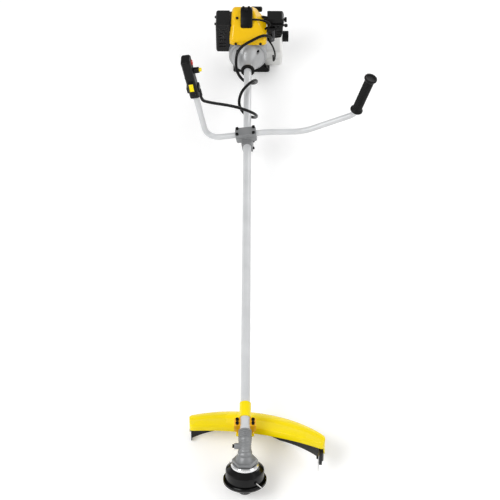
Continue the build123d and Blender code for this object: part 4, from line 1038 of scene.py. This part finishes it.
soften(tank, width=0.0007)
weld(tank)
dress(tank, "tank_white")
stand_for(tank, "frame", "tank_white", "fuel_tank")

# %% [markdown]
# Flat mouldings are drawn as an outline: a point is pulled from place to place, the outline is filled and
# pulled out to its width, and a bevel makes it as round as a moulding. What repeats is made once and
# copied.

# %% How a plate is made


def outline_piece(name, outline, travel, width):
    """A plate: a point is pulled round an outline, in mm, which is filled, pulled out and bevelled."""
    bpy.ops.object.select_all(action="DESELECT")
    bpy.ops.mesh.primitive_plane_add(size=0.001)
    piece = bpy.context.object
    piece.name = name
    bpy.ops.object.mode_set(mode="EDIT")
    bpy.ops.mesh.select_all(action="SELECT")
    bpy.ops.mesh.merge(type="CENTER")
    bpy.ops.transform.translate(value=metres(outline[0]))
    for place, after in zip(outline, outline[1:]):
        stroke = metres(Vector(after) - Vector(place))
        bpy.ops.mesh.extrude_vertices_move(TRANSFORM_OT_translate={"value": stroke})
    bpy.ops.mesh.select_all(action="SELECT")
    bpy.ops.mesh.edge_face_add()
    bpy.ops.mesh.extrude_region_move(TRANSFORM_OT_translate={"value": metres(travel)})
    face_outwards()
    bpy.ops.mesh.bevel(offset=width, segments=5)
    bpy.ops.object.mode_set(mode="OBJECT")
    bpy.ops.object.shade_smooth_by_angle(angle=smooth_angle)
    return piece


def row_of(piece, *shifts):
    """A piece and copies of it, each with a mesh of its own and moved by a vector, in mm."""
    row = [piece]
    for shift in shifts:
        bpy.ops.object.select_all(action="DESELECT")
        piece.select_set(True)
        bpy.context.view_layer.objects.active = piece
        bpy.ops.object.duplicate_move(TRANSFORM_OT_translate={"value": metres(shift)})
        settle()
        row.append(bpy.context.object)
    return row


print("plates and rows of copies")

# %% [markdown]
# A black moulded cover closes the top of the engine over the spark plug. Seen from the side it has a flat
# top and a long slope at the front, so it is one outline with a wide bevel. Two ears and three ridges stand
# on it; one of each is made, and the others are copies.

# %% Spark plug cover
cover_side = [
    (-26, -60, 266), (-26, -60, 289), (-26, -78, 289), (-26, -104, 270), (-26, -120, 250), (-26, -118, 236),
    (-26, -104, 246), (-26, -74, 268)]
ear_steps = [(3.4, 0), (4.2, 1), (4.2, 10.5), (3.2, 11.5)]
cover = outline_piece("plug_cover_moulded", cover_side, travel=(42, 0, 0), width=0.006)
ears = row_of(turned_piece("cover_ear", ear_steps, (-16, -66, 281), (0, 0, 1)), (19, 0, 0))
ridges = row_of(block((-11, -76, 288.4), size=(2.4, 20, 3), width=0.0008), (4.5, 0, 0), (9, 0, 0))
join_to(cover, *ears, *ridges)
dress(cover, "black_plastic")
stand_for(cover, "frame", "black_plastic", "plug_cover")

# %% [markdown]
# The trigger is a curved lever under the first finger. Only its upper half is yellow: a soft pad on a black
# lever. Both are outlines in the plane of the handle, which leans with the bar, so they are drawn upright
# and leaned together.

# %% Throttle trigger
left_corner = Vector((-131, -559, 141))
left_top = Vector((-186, -559, 468))
handle_rise = 195
bar_run = left_top - left_corner
handle_lean = math.atan2(bar_run.x, bar_run.z)
handle_foot = left_corner + bar_run * (handle_rise / bar_run.z)
lever_half = 7.8
pad_half = 6.6
lever_side = [
    (-12.5, 66), (-19, 67), (-26, 56), (-31, 38), (-33, 20), (-27.5, 18), (-24, 30), (-20.5, 46),
    (-12.5, 57)]
pad_side = [(-20, 63.5), (-27, 56.5), (-32, 38), (-30, 37.5), (-25, 55.5), (-18.5, 63)]
lever_outline = [(-lever_half, *place) for place in lever_side]
trigger = outline_piece("trigger_lever", lever_outline, travel=(2 * lever_half, 0, 0), width=0.0012)
dress(trigger, "black_plastic")
pad_outline = [(-pad_half, *place) for place in pad_side]
pad = outline_piece("trigger_pad", pad_outline, travel=(2 * pad_half, 0, 0), width=0.0005)
dress(pad, "guard_yellow")
join_to(trigger, pad)
trigger.location = metres(handle_foot)
trigger.rotation_euler = (0, handle_lean, 0)
settle()
stand_for(trigger, "trigger", "guard_yellow", "throttle_trigger")

# %% [markdown]
# The air filter stands off the engine on a black plate with two slots, and the carburettor beside it has a
# black cover with three grooves. Both are small pieces from outlines; the slots and grooves are cut with a
# Boolean difference.

# %% Filter plate and carburettor cover
plate_front = [(69.5, -60, 203), (69.5, -60, 243), (52, -60, 246), (46, -60, 242), (60, -60, 226)]
cover_front = [(95, -66, 201), (95, -66, 152), (118, -66, 156), (124, -66, 176), (124, -66, 201)]
slot_levels = (228, 236)
groove_levels = (164, 174, 184)
plate = outline_piece("filter_plate", plate_front, travel=(0, 5, 0), width=0.0008)
for level in slot_levels:
    combine(plate, block((61, -57, level), size=(10, 12, 3.2), width=0.0005), "DIFFERENCE")
side_cover = outline_piece("carburettor_cover", cover_front, travel=(0, 38, 0), width=0.003)
for level in groove_levels:
    combine(side_cover, block((110, -66, level), size=(18, 3, 3), width=0.0004), "DIFFERENCE")
for piece in (plate, side_cover):
    dress(piece, "black_plastic")
    stand_for(piece, "frame", "black_plastic")

# %% [markdown]
# On the other side of the engine, a heat shield closes the gap between the muffler guard and the shroud. It
# is a pressed plate, so a block gets a shallow sunk field on its front and on its back.

# %% Heat shield
field_edge = 0.0015
shield = block((-61.5, -69, 206), size=(9, 78, 76), width=0.002)
shield.name = "heat_shield"
bpy.ops.object.mode_set(mode="EDIT")
select_faces(shield, Vector((0, 1, 0)), Vector((0, -1, 0)))
bpy.ops.mesh.inset(thickness=field_edge, depth=-field_edge, use_individual=True)
bpy.ops.object.mode_set(mode="OBJECT")
dress(shield, "pressed_black")
stand_for(shield, "frame", "black_steel")

# %% [markdown]
# The air filter's cover comes off by hand. A ribbed knob in its middle holds it, and two ribs on each side
# of the knob keep the flat face stiff. The knob is turned like the grip, with notches cut round its rim,
# and the ribs are one block and its copies.

# %% Filter knob and ribs
knob_centre = Vector((125.5, -45, 220))
knob_steps = [(5, 0), (5, 3), (8.6, 3.8), (9.2, 5), (9.2, 10), (8.2, 11.4), (5, 11.8)]
notch_count = 8
notch_away = 9.6
filter_knob = turned_piece("filter_knob", knob_steps, knob_centre, (1, 0, 0))
for index in range(notch_count):
    turn = 2 * math.pi * index / notch_count
    away = Vector((8, notch_away * math.cos(turn), notch_away * math.sin(turn)))
    combine(filter_knob, block(knob_centre + away, size=(10, 2.6, 2.6), width=0.0004), "DIFFERENCE")
weld(filter_knob)
first_rib = block((126, -61.5, 220), size=(2, 1.4, 22), width=0.0005)
face_ribs = row_of(first_rib, (0, 3.5, 0), (0, 29.5, 0), (0, 33, 0))
join_to(filter_knob, *face_ribs)
dress(filter_knob, "black_plastic")
stand_for(filter_knob, "frame", "black_plastic")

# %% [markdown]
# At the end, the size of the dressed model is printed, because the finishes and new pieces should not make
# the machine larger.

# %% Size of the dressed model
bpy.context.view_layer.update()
lowest_corner, highest_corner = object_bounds()
print("dressed size", [round(high - low, 3) for low, high in zip(lowest_corner, highest_corner)], "m")
